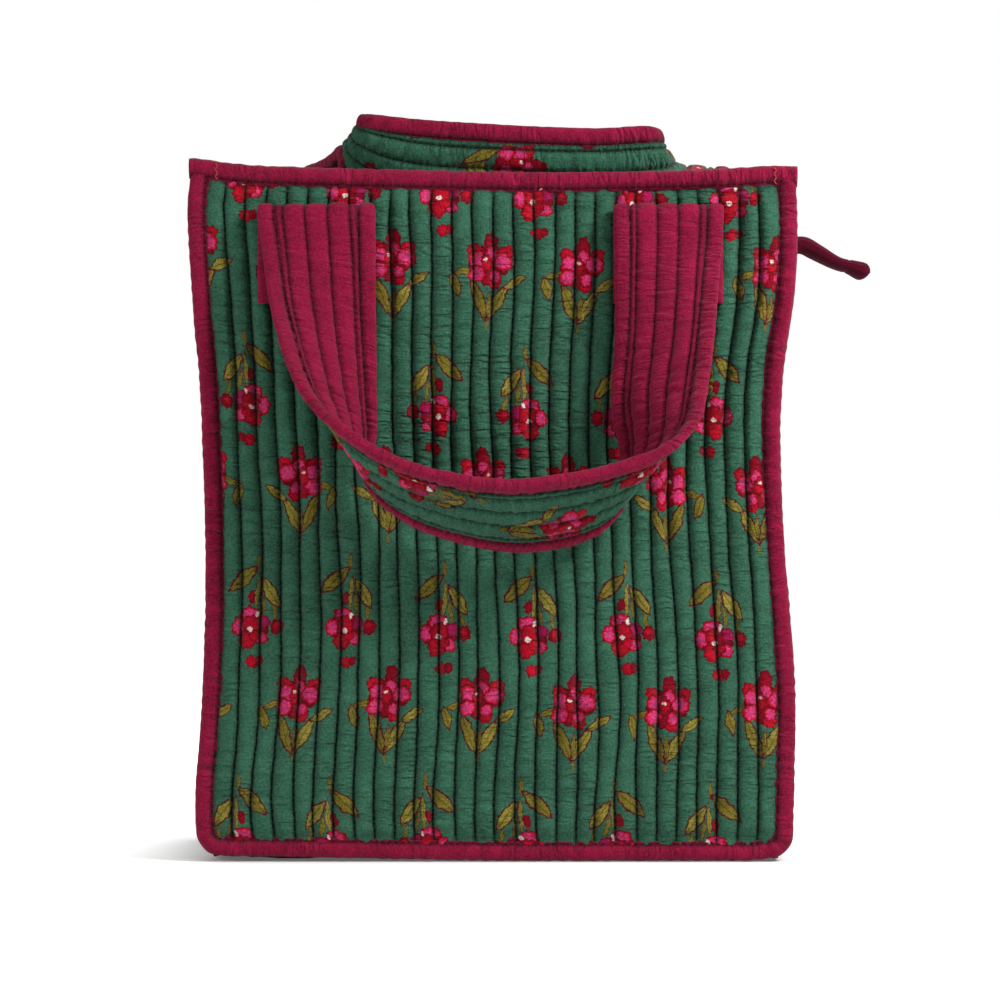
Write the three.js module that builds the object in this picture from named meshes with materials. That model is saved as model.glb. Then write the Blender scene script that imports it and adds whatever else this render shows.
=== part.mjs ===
// A quilted cotton lunch bag: a foam-lined box with bound seams, two strap handles
// and a zip panel set down inside the mouth. Millimetres, +Z up, front towards -Y.
// The origin is the middle of the underside of the base.
import * as THREE from 'three';

// Bag body
const BAG_HEIGHT = 278;
const BAG_DEPTH = 130;
const BASE_WIDTH = 240;
const WAIST_WIDTH = 232;
const WAIST_HEIGHT = 150;
const MOUTH_WIDTH = 244;
const SHOULDER_BELOW_MOUTH = 16;
const BASE_STRAIGHT = 20;
const CORNER_RADIUS = 10;
const GUSSET_BELOW_MOUTH = 37;
const GUSSET_INSET = 5;

// Layers of the wall, and the gap kept between neighbouring pieces
const QUILT = 3.5;
const FOAM = 3;
const LINING = 1.5;
const STIFFENER = 2;
const GAP = 0.3;

// Bindings
const BINDING_WIDTH = 8;
const BINDING_PROUD = 0.4;

// Handles
const STRAP_WIDTH = 47;
const STRAP_COVER = 2.6;
const STRAP_LINING = 1.8;
const EDGE_WIDTH = 8;
const LEG_SPACING = 139;
const FOLD_BELOW_MOUTH = 20;
const SEWN_LENGTH = 35;
const FRONT_DROP = 121;
const BACK_DROP = 106;
const BACK_SHIFT = 7;
const STRAP_TWIST = 118;
const BACK_LIFT = 9;
const LOOP_POWER = 3.4;

// Zip panel
const ZIP_BELOW_MOUTH = 32;
const FLAP_THICKNESS = 2.5;
const FLAP_END_CLEARANCE = 1.5;
const TAPE_THICKNESS = 1.2;
const TAPE_WIDTH = 14;
const COIL_WIDTH = 2.3;
const COIL_HEIGHT = 2.8;
const ZIP_LENGTH = 182;
const ZIP_END_LENGTH = 21;
const SLIDER_LENGTH = 12;
const SLIDER_WALL = 1.4;
const PULL_LENGTH = 22;
const PULL_WIDTH = 6;
const PULL_THICKNESS = 1.4;
const TAIL_REACH = 34;
const TAIL_DROOP = 22;
const TAB_THICKNESS = 6;

// Heights counted down from the mouth
const shoulderHeight = BAG_HEIGHT - SHOULDER_BELOW_MOUTH;
const gussetHeight = BAG_HEIGHT - GUSSET_BELOW_MOUTH;
const foldHeight = BAG_HEIGHT - FOLD_BELOW_MOUTH;
const zipHeight = BAG_HEIGHT - ZIP_BELOW_MOUTH;

const group = new THREE.Group();

const fabric = (color, roughness = 0.9) => new THREE.MeshStandardMaterial({ color, roughness, metalness: 0 });
const printedCotton = () => fabric(0x37695a);
const bindingCotton = () => fabric(0x891e48);
const liningCotton = () => fabric(0x7c1a40);
const foamSheet = () => fabric(0xe9e6de);
const insulatedLining = () => fabric(0xb9bcc0, 0.5);
const zipTape = () => fabric(0x4b0a1e);
const board = () => fabric(0x4a4a4c);
const metal = () => new THREE.MeshStandardMaterial({ color: 0xb9b4a8, roughness: 0.3, metalness: 1 });

function addPiece(name, geometry, material, parent = group) {
  const mesh = new THREE.Mesh(geometry, material);
  mesh.name = name;
  parent.add(mesh);
  return mesh;
}

// The side seams draw in at the waist and flare again towards the mouth.
const ease = (t) => t * t * (3 - 2 * t);
const between = (low, high, t) => low + (high - low) * ease(Math.min(1, Math.max(0, t)));

function halfWidth(z) {
  if (z <= WAIST_HEIGHT) {
    const rise = (z - BASE_STRAIGHT) / (WAIST_HEIGHT - BASE_STRAIGHT);
    return between(BASE_WIDTH / 2, WAIST_WIDTH / 2, rise);
  }
  const rise = (z - WAIST_HEIGHT) / (shoulderHeight - WAIST_HEIGHT);
  return between(WAIST_WIDTH / 2, MOUTH_WIDTH / 2, rise);
}

const SIDE_STEPS = 12;

function sideLevels(zLow, zHigh) {
  const levels = [zLow];
  for (let step = 1; step < SIDE_STEPS; step += 1) {
    const z = (BAG_HEIGHT * step) / SIDE_STEPS;
    if (z > zLow + 2 && z < zHigh - 2) levels.push(z);
  }
  levels.push(zHigh);
  return levels;
}

// Right-hand edge of a panel from its rounded bottom corner up to zHigh.
function rightEdge(inset, zLow, zHigh, radius) {
  const points = [];
  const bottomHalf = halfWidth(zLow) - inset;
  const cornerSteps = radius > 0 ? 5 : 0;
  for (let step = 0; step < cornerSteps; step += 1) {
    const angle = (step / cornerSteps) * (Math.PI / 2);
    const x = bottomHalf - radius + radius * Math.sin(angle);
    points.push([x, zLow + radius - radius * Math.cos(angle)]);
  }
  for (const z of sideLevels(zLow + radius, zHigh)) points.push([halfWidth(z) - inset, z]);
  return points;
}

const mirrored = (points) => points.map(([x, z]) => [-x, z]).reverse();
const shapeOf = (points) => new THREE.Shape(points.map(([x, z]) => new THREE.Vector2(x, z)));

// A flat shape drawn in X and Z, given its thickness from yLow to yHigh.
function slab(points, yLow, yHigh) {
  const geometry = new THREE.ExtrudeGeometry(shapeOf(points), { depth: yHigh - yLow, bevelEnabled: false });
  geometry.rotateX(Math.PI / 2);
  geometry.translate(0, yHigh, 0);
  return geometry;
}

function block(xLow, xHigh, yLow, yHigh, zLow, zHigh) {
  const geometry = new THREE.BoxGeometry(xHigh - xLow, yHigh - yLow, zHigh - zLow);
  geometry.translate((xLow + xHigh) / 2, (yLow + yHigh) / 2, (zLow + zHigh) / 2);
  return geometry;
}

const panelOutline = (inset, zLow, zHigh, radius) => {
  const edge = rightEdge(inset, zLow, zHigh, radius);
  return [...edge, ...mirrored(edge)];
};

// Front and back walls: quilted panel, foam, lining, and the bindings round their edges.
const wallFace = BAG_DEPTH / 2;
const foamFace = wallFace - QUILT - GAP;
const liningFace = foamFace - FOAM - GAP;
const wallInside = liningFace - LINING;
const panelInset = BINDING_WIDTH + GAP;
const panelTop = BAG_HEIGHT - BINDING_WIDTH - GAP;
const innerRadius = Math.max(0.5, CORNER_RADIUS - panelInset);

function layerSlab(side, points, outer, inner) {
  return side < 0 ? slab(points, -outer, -inner) : slab(points, inner, outer);
}

function seamBindingOutline() {
  const outer = rightEdge(0, 0, panelTop, CORNER_RADIUS);
  const insideRadius = Math.max(0.5, CORNER_RADIUS - BINDING_WIDTH);
  const inner = rightEdge(BINDING_WIDTH, BINDING_WIDTH, panelTop, insideRadius);
  return [...outer, ...inner.slice().reverse(), ...mirrored(inner).reverse(), ...mirrored(outer)];
}

function buildWall(name, side) {
  const panel = panelOutline(panelInset, panelInset, panelTop, innerRadius);
  addPiece(`${name}_panel`, layerSlab(side, panel, wallFace, wallFace - QUILT), printedCotton());
  addPiece(`${name}_foam`, layerSlab(side, panel, foamFace, foamFace - FOAM), foamSheet());
  addPiece(`${name}_lining`, layerSlab(side, panel, liningFace, wallInside), insulatedLining());
  const proud = wallFace + BINDING_PROUD;
  addPiece(`${name}_seam_binding`, layerSlab(side, seamBindingOutline(), proud, wallInside), bindingCotton());
  const topEdge = panelOutline(0, BAG_HEIGHT - BINDING_WIDTH, BAG_HEIGHT, 0);
  addPiece(`${name}_top_binding`, layerSlab(side, topEdge, proud, wallInside), bindingCotton());
}

// Side gussets, which end below the mouth, and the base.
const gussetHalfDepth = wallInside - GAP;

function gussetLayer(side, inset, thickness, zLow, zHigh) {
  const levels = sideLevels(zLow, zHigh);
  const outer = levels.map((z) => [halfWidth(z) - inset, z]);
  const inner = levels.map((z) => [halfWidth(z) - inset - thickness, z]).reverse();
  const strip = [...outer, ...inner];
  const points = side > 0 ? strip : mirrored(strip);
  return slab(points, -gussetHalfDepth, gussetHalfDepth);
}

const gussetFoamInset = GUSSET_INSET + QUILT + GAP;
const gussetLiningInset = gussetFoamInset + FOAM + GAP;
const gussetInside = gussetLiningInset + LINING;
const gussetFoot = QUILT + GAP;
const gussetTop = gussetHeight - BINDING_WIDTH - GAP;

function buildGusset(name, side) {
  const layer = (inset, thickness) => gussetLayer(side, inset, thickness, gussetFoot, gussetTop);
  addPiece(`${name}_gusset`, layer(GUSSET_INSET, QUILT), printedCotton());
  addPiece(`${name}_foam`, layer(gussetFoamInset, FOAM), foamSheet());
  addPiece(`${name}_lining`, layer(gussetLiningInset, LINING), insulatedLining());
  const wrap = gussetInside - GUSSET_INSET + BINDING_PROUD;
  const edge = gussetLayer(side, GUSSET_INSET - BINDING_PROUD, wrap, gussetTop + GAP, gussetHeight);
  addPiece(`${name}_gusset_binding`, edge, bindingCotton());
}

function buildBase() {
  const outerHalf = halfWidth(0) - GUSSET_INSET;
  const innerHalf = halfWidth(0) - gussetInside - GAP;
  const depth = gussetHalfDepth;
  const layer = (half, low, thickness) => block(-half, half, -depth, depth, low, low + thickness);
  const boardLow = gussetFoot + FOAM + GAP;
  const liningLow = boardLow + STIFFENER + GAP;
  addPiece('base_panel', layer(outerHalf, 0, QUILT), printedCotton());
  addPiece('base_foam', layer(innerHalf, gussetFoot, FOAM), foamSheet());
  addPiece('base_stiffener', layer(innerHalf, boardLow, STIFFENER), board());
  addPiece('base_lining', layer(innerHalf, liningLow, LINING), insulatedLining());
}

// Handles. A loop hangs from its fold: x across, "down" away from the fold, "out" away
// from the bag. The strap lies flat at the fold and turns on edge round the loop.
const strapThickness = STRAP_LINING + GAP + STRAP_COVER;
const LOOP_STEPS = 44;

function loopPoint(fraction, drop) {
  const angle = fraction * Math.PI;
  const power = 2 / LOOP_POWER;
  const x = -Math.sign(Math.cos(angle)) * (LEG_SPACING / 2) * Math.abs(Math.cos(angle)) ** power;
  const down = drop * Math.max(0, Math.sin(angle)) ** power;
  return new THREE.Vector2(x, down);
}

// Points at even spacing along the loop, so the strap's sections are alike.
function evenLoop(drop) {
  const fine = [];
  for (let i = 0; i <= 720; i += 1) fine.push(loopPoint(i / 720, drop));
  const reach = [0];
  for (let i = 1; i < fine.length; i += 1) reach.push(reach[i - 1] + fine[i].distanceTo(fine[i - 1]));
  const total = reach[reach.length - 1];
  const even = [];
  let at = 1;
  for (let step = 0; step <= LOOP_STEPS; step += 1) {
    const target = (total * step) / LOOP_STEPS;
    while (at < fine.length - 1 && reach[at] < target) at += 1;
    const span = reach[at] - reach[at - 1];
    const part = span > 0 ? (target - reach[at - 1]) / span : 0;
    even.push(fine[at - 1].clone().lerp(fine[at], part));
  }
  return even;
}

function strapFrames(drop) {
  const path = evenLoop(drop);
  const centres = [];
  const turns = [];
  for (let i = 0; i < path.length; i += 1) {
    const alongPath = i / (path.length - 1);
    const towardsMiddle = 1 - Math.abs(2 * alongPath - 1);
    const turn = between(0, THREE.MathUtils.degToRad(STRAP_TWIST), towardsMiddle);
    const out = GAP + strapThickness / 2 + (STRAP_WIDTH / 2) * Math.sin(turn);
    turns.push(turn);
    centres.push(new THREE.Vector3(path[i].x, out, -path[i].y));
  }
  return centres.map((centre, i) => {
    const before = centres[Math.max(0, i - 1)];
    const after = centres[Math.min(centres.length - 1, i + 1)];
    const along = after.clone().sub(before).normalize();
    const outward = new THREE.Vector3(along.z, 0, -along.x).normalize();
    const across = outward.multiplyScalar(Math.cos(turns[i]));
    across.add(new THREE.Vector3(0, Math.sin(turns[i]), 0));
    across.addScaledVector(along, -across.dot(along)).normalize();
    return { centre, across, facing: along.clone().cross(across).normalize() };
  });
}

// A strip of the strap: a rectangle in (across, facing) swept along the loop. Faces that
// lie against a neighbouring strip are split along the same diagonal as the neighbour's.
function strapStrip(frames, acrossLow, acrossHigh, facingLow, facingHigh) {
  const corners = [
    [acrossLow, facingLow],
    [acrossHigh, facingLow],
    [acrossHigh, facingHigh],
    [acrossLow, facingHigh],
  ];
  const positions = [];
  for (const frame of frames) {
    for (const [sideways, forwards] of corners) {
      const point = frame.centre.clone();
      point.addScaledVector(frame.across, sideways);
      point.addScaledVector(frame.facing, forwards);
      positions.push(point.x, point.y, point.z);
    }
  }
  const faces = [];
  for (let ring = 0; ring < frames.length - 1; ring += 1) {
    for (let corner = 0; corner < 4; corner += 1) {
      const a = ring * 4 + corner;
      const b = ring * 4 + ((corner + 1) % 4);
      if (corner < 2) faces.push(a, b, b + 4, a, b + 4, a + 4);
      else faces.push(a, b, a + 4, b, b + 4, a + 4);
    }
  }
  const last = (frames.length - 1) * 4;
  faces.push(0, 2, 1, 0, 3, 2);
  faces.push(last, last + 1, last + 2, last, last + 2, last + 3);
  const geometry = new THREE.BufferGeometry();
  geometry.setAttribute('position', new THREE.Float32BufferAttribute(positions, 3));
  geometry.setIndex(faces);
  return geometry;
}

// The fold lines stand off the wall by the strap that is sewn there.
const strapSeat = wallFace + BINDING_PROUD + GAP;
const foldDepth = strapSeat + strapThickness + GAP;
const backFoldHeight = BAG_HEIGHT + 2 * GAP + strapThickness + GAP;

function buildLoop(name, drop, holder) {
  const frames = strapFrames(drop);
  const half = STRAP_WIDTH / 2;
  const low = -strapThickness / 2;
  const high = strapThickness / 2;
  const printedEdge = half - EDGE_WIDTH - GAP;
  const middle = low + STRAP_COVER;
  const pieces = [
    ['cover', -printedEdge, printedEdge, low, middle, printedCotton()],
    ['lining', -printedEdge, printedEdge, middle + GAP, high, liningCotton()],
    ['outer_binding', printedEdge + GAP, half, low, high, bindingCotton()],
    ['inner_binding', -half, -printedEdge - GAP, low, high, bindingCotton()],
  ];
  for (const [piece, acrossLow, acrossHigh, facingLow, facingHigh, material] of pieces) {
    const strip = strapStrip(frames, acrossLow, acrossHigh, facingLow, facingHigh);
    addPiece(`${name}_handle_${piece}`, strip, material, holder);
  }
}

function buildFrontHandle() {
  for (const [sideName, side] of [['left', -1], ['right', 1]]) {
    const middle = (side * LEG_SPACING) / 2;
    const end = block(
      middle - STRAP_WIDTH / 2, middle + STRAP_WIDTH / 2,
      -strapSeat - strapThickness, -strapSeat,
      foldHeight - SEWN_LENGTH, foldHeight,
    );
    addPiece(`front_handle_${sideName}_end`, end, bindingCotton());
  }
  const holder = new THREE.Group();
  holder.position.set(0, -foldDepth, foldHeight);
  holder.rotation.z = Math.PI;
  group.add(holder);
  buildLoop('front', FRONT_DROP, holder);
}

function buildBackHandle() {
  const endTop = backFoldHeight - strapThickness - 2 * GAP;
  for (const [sideName, side] of [['left', -1], ['right', 1]]) {
    const middle = BACK_SHIFT + (side * LEG_SPACING) / 2;
    const end = block(
      middle - STRAP_WIDTH / 2, middle + STRAP_WIDTH / 2,
      strapSeat, strapSeat + strapThickness,
      foldHeight - SEWN_LENGTH, endTop,
    );
    addPiece(`back_handle_${sideName}_end`, end, bindingCotton());
  }
  const holder = new THREE.Group();
  holder.position.set(BACK_SHIFT, foldDepth, backFoldHeight);
  holder.rotation.x = THREE.MathUtils.degToRad(-90 - BACK_LIFT);
  group.add(holder);
  buildLoop('back', BACK_DROP, holder);
}

// Zip panel: two flaps, each with its tape and half of the coil, a fixed start at the
// left, and a tail that runs out over the right gusset to a folded fabric tab.
const zipHalf = ZIP_LENGTH / 2;
const narrowestInside = WAIST_WIDTH / 2 - gussetInside;
const flapHalf = narrowestInside - FLAP_END_CLEARANCE;
const tapeLow = zipHeight - TAPE_THICKNESS / 2;
const tapeHigh = zipHeight + TAPE_THICKNESS / 2;
const coilHigh = zipHeight + COIL_HEIGHT / 2;

function buildFlap(name, side) {
  const flapLow = zipHeight - FLAP_THICKNESS / 2;
  const inner = TAPE_WIDTH;
  const lay = (near, far, xHalf, zLow, zHigh) => {
    const yLow = side > 0 ? near : -far;
    return block(-xHalf, xHalf, yLow, yLow + far - near, zLow, zHigh);
  };
  const flap = lay(inner, gussetHalfDepth, flapHalf, flapLow, flapLow + FLAP_THICKNESS);
  addPiece(`${name}_zip_flap`, flap, printedCotton());
  const coilOuter = GAP + COIL_WIDTH;
  addPiece(`${name}_zip_tape`, lay(coilOuter + GAP, inner - GAP, zipHalf, tapeLow, tapeHigh), zipTape());
  const coil = lay(GAP, coilOuter, zipHalf, coilHigh - COIL_HEIGHT, coilHigh);
  addPiece(`${name}_zip_coil`, coil, zipTape());
}

// Section across the zip: flat tape with the closed coil as a ridge along its middle.
function zipSection() {
  const edge = TAPE_WIDTH - GAP;
  const ridge = GAP + COIL_WIDTH;
  return [
    [-edge, tapeLow], [edge, tapeLow], [edge, tapeHigh], [ridge, tapeHigh],
    [ridge, coilHigh], [-ridge, coilHigh], [-ridge, tapeHigh], [-edge, tapeHigh],
  ];
}

// A section drawn in Y and Z, run along X.
function alongX(points, xLow, xHigh) {
  const geometry = new THREE.ExtrudeGeometry(shapeOf(points), { depth: xHigh - xLow, bevelEnabled: false });
  geometry.rotateX(Math.PI / 2);
  geometry.rotateZ(Math.PI / 2);
  geometry.translate(xLow, 0, 0);
  return geometry;
}

const tailHinge = BASE_WIDTH / 2 - GUSSET_INSET + 3;

function buildZip() {
  buildFlap('front', -1);
  buildFlap('back', 1);
  const startLow = -zipHalf - GAP - ZIP_END_LENGTH;
  addPiece('zip_start', alongX(zipSection(), startLow, -zipHalf - GAP), zipTape());
  addPiece('zip_tail', alongX(zipSection(), zipHalf + GAP, tailHinge - GAP), zipTape());
  const holder = new THREE.Group();
  holder.position.set(tailHinge, 0, zipHeight);
  holder.rotation.y = THREE.MathUtils.degToRad(TAIL_DROOP);
  group.add(holder);
  const half = TAB_THICKNESS / 2;
  const width = TAPE_WIDTH - GAP;
  const round = half * 0.8;
  const thin = half * 0.14;
  const profile = [
    [half, -half], [TAIL_REACH, -half], [TAIL_REACH + round, -half * 0.4],
    [TAIL_REACH + round, half * 0.4], [TAIL_REACH, half], [half, half], [GAP, thin], [GAP, -thin],
  ];
  addPiece('zip_end_tab', slab(profile, -width, width), zipTape(), holder);
}

function buildSlider() {
  const middle = -zipHalf - GAP - ZIP_END_LENGTH / 2;
  const channel = GAP * 2 + COIL_WIDTH;
  const wall = channel + SLIDER_WALL;
  const foot = tapeHigh + GAP;
  const roof = coilHigh + GAP;
  const section = [
    [channel, foot], [wall, foot], [wall, roof + SLIDER_WALL], [-wall, roof + SLIDER_WALL],
    [-wall, foot], [-channel, foot], [-channel, roof], [channel, roof],
  ];
  const low = middle - SLIDER_LENGTH / 2;
  addPiece('zip_slider', alongX(section, low, low + SLIDER_LENGTH), metal());
  const seat = roof + SLIDER_WALL + GAP;
  const pullHalf = PULL_WIDTH / 2;
  const pull = block(middle, middle + PULL_LENGTH, -pullHalf, pullHalf, seat, seat + PULL_THICKNESS);
  addPiece('zip_pull', pull, metal());
}

buildWall('front', -1);
buildWall('back', 1);
buildGusset('left', -1);
buildGusset('right', 1);
buildBase();
buildFrontHandle();
buildBackHandle();
buildZip();
buildSlider();

export default group;
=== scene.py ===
# A quilted cotton lunch bag with bound seams, two strap handles and a zip panel inside
# its mouth. The cloth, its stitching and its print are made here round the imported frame.
import math

import bpy
import numpy as np
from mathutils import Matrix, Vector


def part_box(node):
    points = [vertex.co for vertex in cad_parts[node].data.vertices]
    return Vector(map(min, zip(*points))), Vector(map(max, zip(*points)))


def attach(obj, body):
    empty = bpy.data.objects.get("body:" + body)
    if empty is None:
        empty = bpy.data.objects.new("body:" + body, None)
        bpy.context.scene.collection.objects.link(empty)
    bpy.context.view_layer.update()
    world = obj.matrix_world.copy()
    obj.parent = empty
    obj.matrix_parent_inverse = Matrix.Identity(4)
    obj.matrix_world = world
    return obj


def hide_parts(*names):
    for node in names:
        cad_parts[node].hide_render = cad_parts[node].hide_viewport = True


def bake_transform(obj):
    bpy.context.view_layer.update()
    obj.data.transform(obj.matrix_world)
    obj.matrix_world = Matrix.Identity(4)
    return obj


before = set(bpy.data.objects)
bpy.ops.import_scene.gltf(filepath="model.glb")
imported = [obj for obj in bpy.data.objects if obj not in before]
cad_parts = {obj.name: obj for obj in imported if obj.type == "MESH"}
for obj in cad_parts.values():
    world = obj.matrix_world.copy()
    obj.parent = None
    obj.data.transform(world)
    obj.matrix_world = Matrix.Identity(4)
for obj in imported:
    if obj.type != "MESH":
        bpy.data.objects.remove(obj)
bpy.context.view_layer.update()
bpy.ops.object.select_all(action="DESELECT")

MM = 0.001
FULL_TURN = 2 * math.pi

# Sizes of the real bag, in millimetres
BAG_TOP = 278.0
WALL_FACE = 65.0
WALL_BACK = 58.4
WALL_INSIDE = 56.4
BINDING = 8.0
CHANNEL = 8.1
STRAP_WIDTH = 47.0
COIL_STEP = 1.3

# Camera, looking straight at the front wall
PICTURE_WIDTH = 400.0
CAMERA_DISTANCE = 1750.0
PICTURE_MIDDLE = (1.6, 144.4)
SENSOR = 36


def place_camera():
    place = np.array([PICTURE_MIDDLE[0], -(WALL_FACE + CAMERA_DISTANCE), PICTURE_MIDDLE[1]])
    bpy.ops.object.camera_add(location=tuple(place * MM), rotation=(math.pi / 2, 0, 0))
    camera = bpy.context.object
    camera.data.sensor_width = SENSOR
    camera.data.lens = SENSOR * CAMERA_DISTANCE / PICTURE_WIDTH
    bpy.context.scene.camera = camera


# Curves drawn through a few points
def at(*coordinates):
    """Points from their coordinates; one that is the same for all of them can be a single number."""
    return np.stack(np.broadcast_arrays(*coordinates), axis=1)


def through(stations, count):
    """Points at even parameter steps on a smooth curve through the stations."""
    stations = np.asarray(stations, float)
    spans = len(stations) - 1
    t = np.linspace(0, spans, count)
    i = np.clip(t.astype(int), 0, spans - 1)
    f = (t - i)[:, None]
    ends = 2 * stations[0] - stations[1], 2 * stations[-1] - stations[-2]
    p0, p1, p2, p3 = (np.vstack([ends[0], stations, ends[1]])[i + k] for k in range(4))
    curve = 2 * p1 + (p2 - p0) * f + (2 * p0 - 5 * p1 + 4 * p2 - p3) * f**2
    return (curve + (3 * p1 - p0 - 3 * p2 + p3) * f**3) / 2


def reach_along(points):
    """Each point's distance from the first one, along the line."""
    return np.concatenate([[0], np.cumsum(np.linalg.norm(np.diff(points, axis=0), axis=1))])


def resample(columns, reach, target):
    return at(*(np.interp(target, reach, column) for column in columns.T))


def along_length(points, count):
    """The same curve, with its points spread evenly over its length."""
    reach = reach_along(points)
    return resample(points, reach, np.linspace(0, reach[-1], count))


def soften(points, times):
    points = np.array(points, float)
    for _ in range(times):
        points[1:-1] = (points[:-2] + 2 * points[1:-1] + points[2:]) / 4
    return points


def read_curve(stations):
    fine = through(stations, 40 * len(stations))
    return lambda value: np.interp(value, fine[:, 0], fine[:, 1])


def smooth_step(t):
    t = np.clip(t, 0, 1)
    return t * t * (3 - 2 * t)


def bump_at(value, middle, width, power=2):
    """A rounded bump of height 1."""
    return np.exp(-(((value - middle) / width) ** power))


def between(low, high, share):
    return low + (high - low) * share


def from_ends(share, rate):
    """Rises from 0 to 1 away from both ends of 0 to 1."""
    return np.minimum(1, np.minimum(share, 1 - share) * rate)


def from_rim(across, along, rate):
    return np.minimum(from_ends(across, rate), from_ends(along, rate))


def unit(vectors):
    return vectors / np.maximum(np.linalg.norm(vectors, axis=-1, keepdims=True), 1e-9)


def repeated(vector, count):
    return np.tile(vector, (count, 1)).astype(float)


class Ripple:
    """Soft irregular waves over two coordinates, the same on every run."""

    def __init__(self, wavelengths, seed, waves=7):
        draw = np.random.default_rng(seed)
        turn = draw.uniform(0, FULL_TURN, waves)
        self.phase = draw.uniform(0, FULL_TURN, waves)
        spread = draw.uniform(0.7, 1.5, waves)
        self.kx = FULL_TURN * np.cos(turn) / (wavelengths[0] * spread)
        self.ky = FULL_TURN * np.sin(turn) / (wavelengths[1] * spread)

    def __call__(self, a, b):
        total = np.zeros(np.broadcast(a, b).shape)
        for kx, ky, phase in zip(self.kx, self.ky, self.phase):
            total += np.sin(kx * a + ky * b + phase)
        return total / math.sqrt(len(self.kx))


# Meshes
def node_box(node):
    """The low and high corner of a frame node, in millimetres."""
    return (np.array(corner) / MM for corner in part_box(node))


def named(piece, name):
    piece.name = piece.data.name = name
    return piece


def vertex_points(piece):
    points = np.empty(len(piece.data.vertices) * 3)
    piece.data.vertices.foreach_get("co", points)
    return points.reshape(-1, 3)


def set_points(piece, points):
    piece.data.vertices.foreach_set("co", np.asarray(points, float).ravel())
    piece.data.update()


def smooth_faces(piece):
    for polygon in piece.data.polygons:
        polygon.use_smooth = True
    return piece


def cloth_grid(name, columns, rows, place, width, length, stitches=None):
    """A grid of quads: place turns (across, along), each 0 to 1, into points in millimetres.
    Its UV map holds millimetres of flat cloth, and stitches gives each point's distance from a stitch line."""
    bpy.ops.mesh.primitive_grid_add(x_subdivisions=columns, y_subdivisions=rows, size=1)
    piece = named(bpy.context.object, name)
    across, along = vertex_points(piece)[:, :2].T + 0.5
    set_points(piece, place(across, along) * MM)
    if stitches:
        layer = piece.data.attributes.new("from_stitch", "FLOAT", "POINT")
        layer.data.foreach_set("value", np.asarray(stitches(across, along), float))
    layer = piece.data.uv_layers.active
    uv = np.empty(len(layer.data) * 2)
    layer.data.foreach_get("uv", uv)
    layer.data.foreach_set("uv", (uv.reshape(-1, 2) * (width, length)).ravel())
    return smooth_faces(piece)


def deselect():
    bpy.ops.object.select_all(action="DESELECT")


def edit(piece):
    deselect()
    piece.select_set(True)
    bpy.context.view_layer.objects.active = piece
    bpy.ops.object.mode_set(mode="EDIT")
    bpy.ops.mesh.select_all(action="SELECT")


def leave_edit():
    bpy.ops.object.mode_set(mode="OBJECT")
    deselect()


def turn_over(piece):
    edit(piece)
    bpy.ops.mesh.flip_normals()
    leave_edit()


def all_outwards():
    bpy.ops.mesh.select_all(action="SELECT")
    bpy.ops.mesh.normals_make_consistent(inside=False)
    leave_edit()


def close_tube(piece):
    """Joins the long edges of a grid rolled into a tube and caps each of its ends."""
    edit(piece)
    bpy.ops.mesh.remove_doubles(threshold=0.00002)
    bpy.ops.mesh.fill_holes(sides=0)
    all_outwards()


def add_modifier(piece, kind, **settings):
    """Adds a modifier to a piece and applies it."""
    bpy.context.view_layer.objects.active = piece
    modifier = piece.modifiers.new(kind, kind)
    for key, value in settings.items():
        setattr(modifier, key, value)
    bpy.ops.object.modifier_apply(modifier=modifier.name)


def back_sheet(piece, thickness):
    """Gives a sheet its thickness away from its faces."""
    add_modifier(piece, "SOLIDIFY", thickness=thickness * MM, offset=-1, use_rim=True)


def level_sheet(name, columns, rows, place, size, thickness, stitches=None):
    """A sheet of cloth that lies face up."""
    piece = cloth_grid(name, columns, rows, place, *size, stitches)
    if sum(polygon.normal.z for polygon in piece.data.polygons) < 0:
        turn_over(piece)
    back_sheet(piece, thickness)
    return piece


def flat_back(piece, y):
    """Closes a wall's rim and back: the rim is drawn in to one depth and filled."""
    edit(piece)
    bpy.ops.mesh.select_all(action="DESELECT")
    bpy.ops.mesh.select_non_manifold(extend=False)
    bpy.ops.mesh.extrude_region_move()
    leave_edit()
    points = vertex_points(piece)
    points[np.array([vertex.select for vertex in piece.data.vertices]), 1] = y * MM
    set_points(piece, points)
    bpy.context.view_layer.objects.active = piece
    bpy.ops.object.mode_set(mode="EDIT")
    bpy.ops.mesh.fill()
    all_outwards()


def join(pieces, name):
    deselect()
    for piece in pieces:
        piece.select_set(True)
    bpy.context.view_layer.objects.active = pieces[0]
    bpy.ops.object.join()
    piece = named(bpy.context.object, name)
    deselect()
    return smooth_faces(piece)


def finish_piece(piece, body, material, slot, *nodes):
    piece.data.materials.clear()
    piece.data.materials.append(material)
    if body:
        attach(piece, body)
    if nodes:
        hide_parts(*nodes)
    return piece


# Outline of the front wall to its bound edges: x by height for its sides, height by x for its top and bottom
LEFT_SIDE = [(0, -119), (24, -120.5), (60, -118), (100, -116.5), (135, -116.6), (165, -117.6), (192, -118.8),
             (215, -121), (224, -121.6), (245, -123), (262, -123.6), (281, -121.4)]
RIGHT_SIDE = [(0, 119), (24, 119.4), (65, 120), (97, 118), (125, 115.6), (155, 114.2), (178, 114), (200, 115.6),
              (218, 118.4), (230, 119.8), (250, 120.8), (278, 119.8)]
TOP_EDGE = [(-124, 281.2), (-118, 281.0), (-106, 279.2), (-94, 278.2), (-82, 277.8), (-60, 277.2), (0, 275.8),
            (35, 275.7), (74, 276.4), (98, 277.4), (110, 278.2), (122, 277.8)]
BOTTOM_EDGE = [(-120, 3), (-112, 2), (-85, 1.6), (-45, 0.8), (0, 0), (50, -0.6), (95, -0.4), (112, 1.2), (120, 2.5)]
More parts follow.
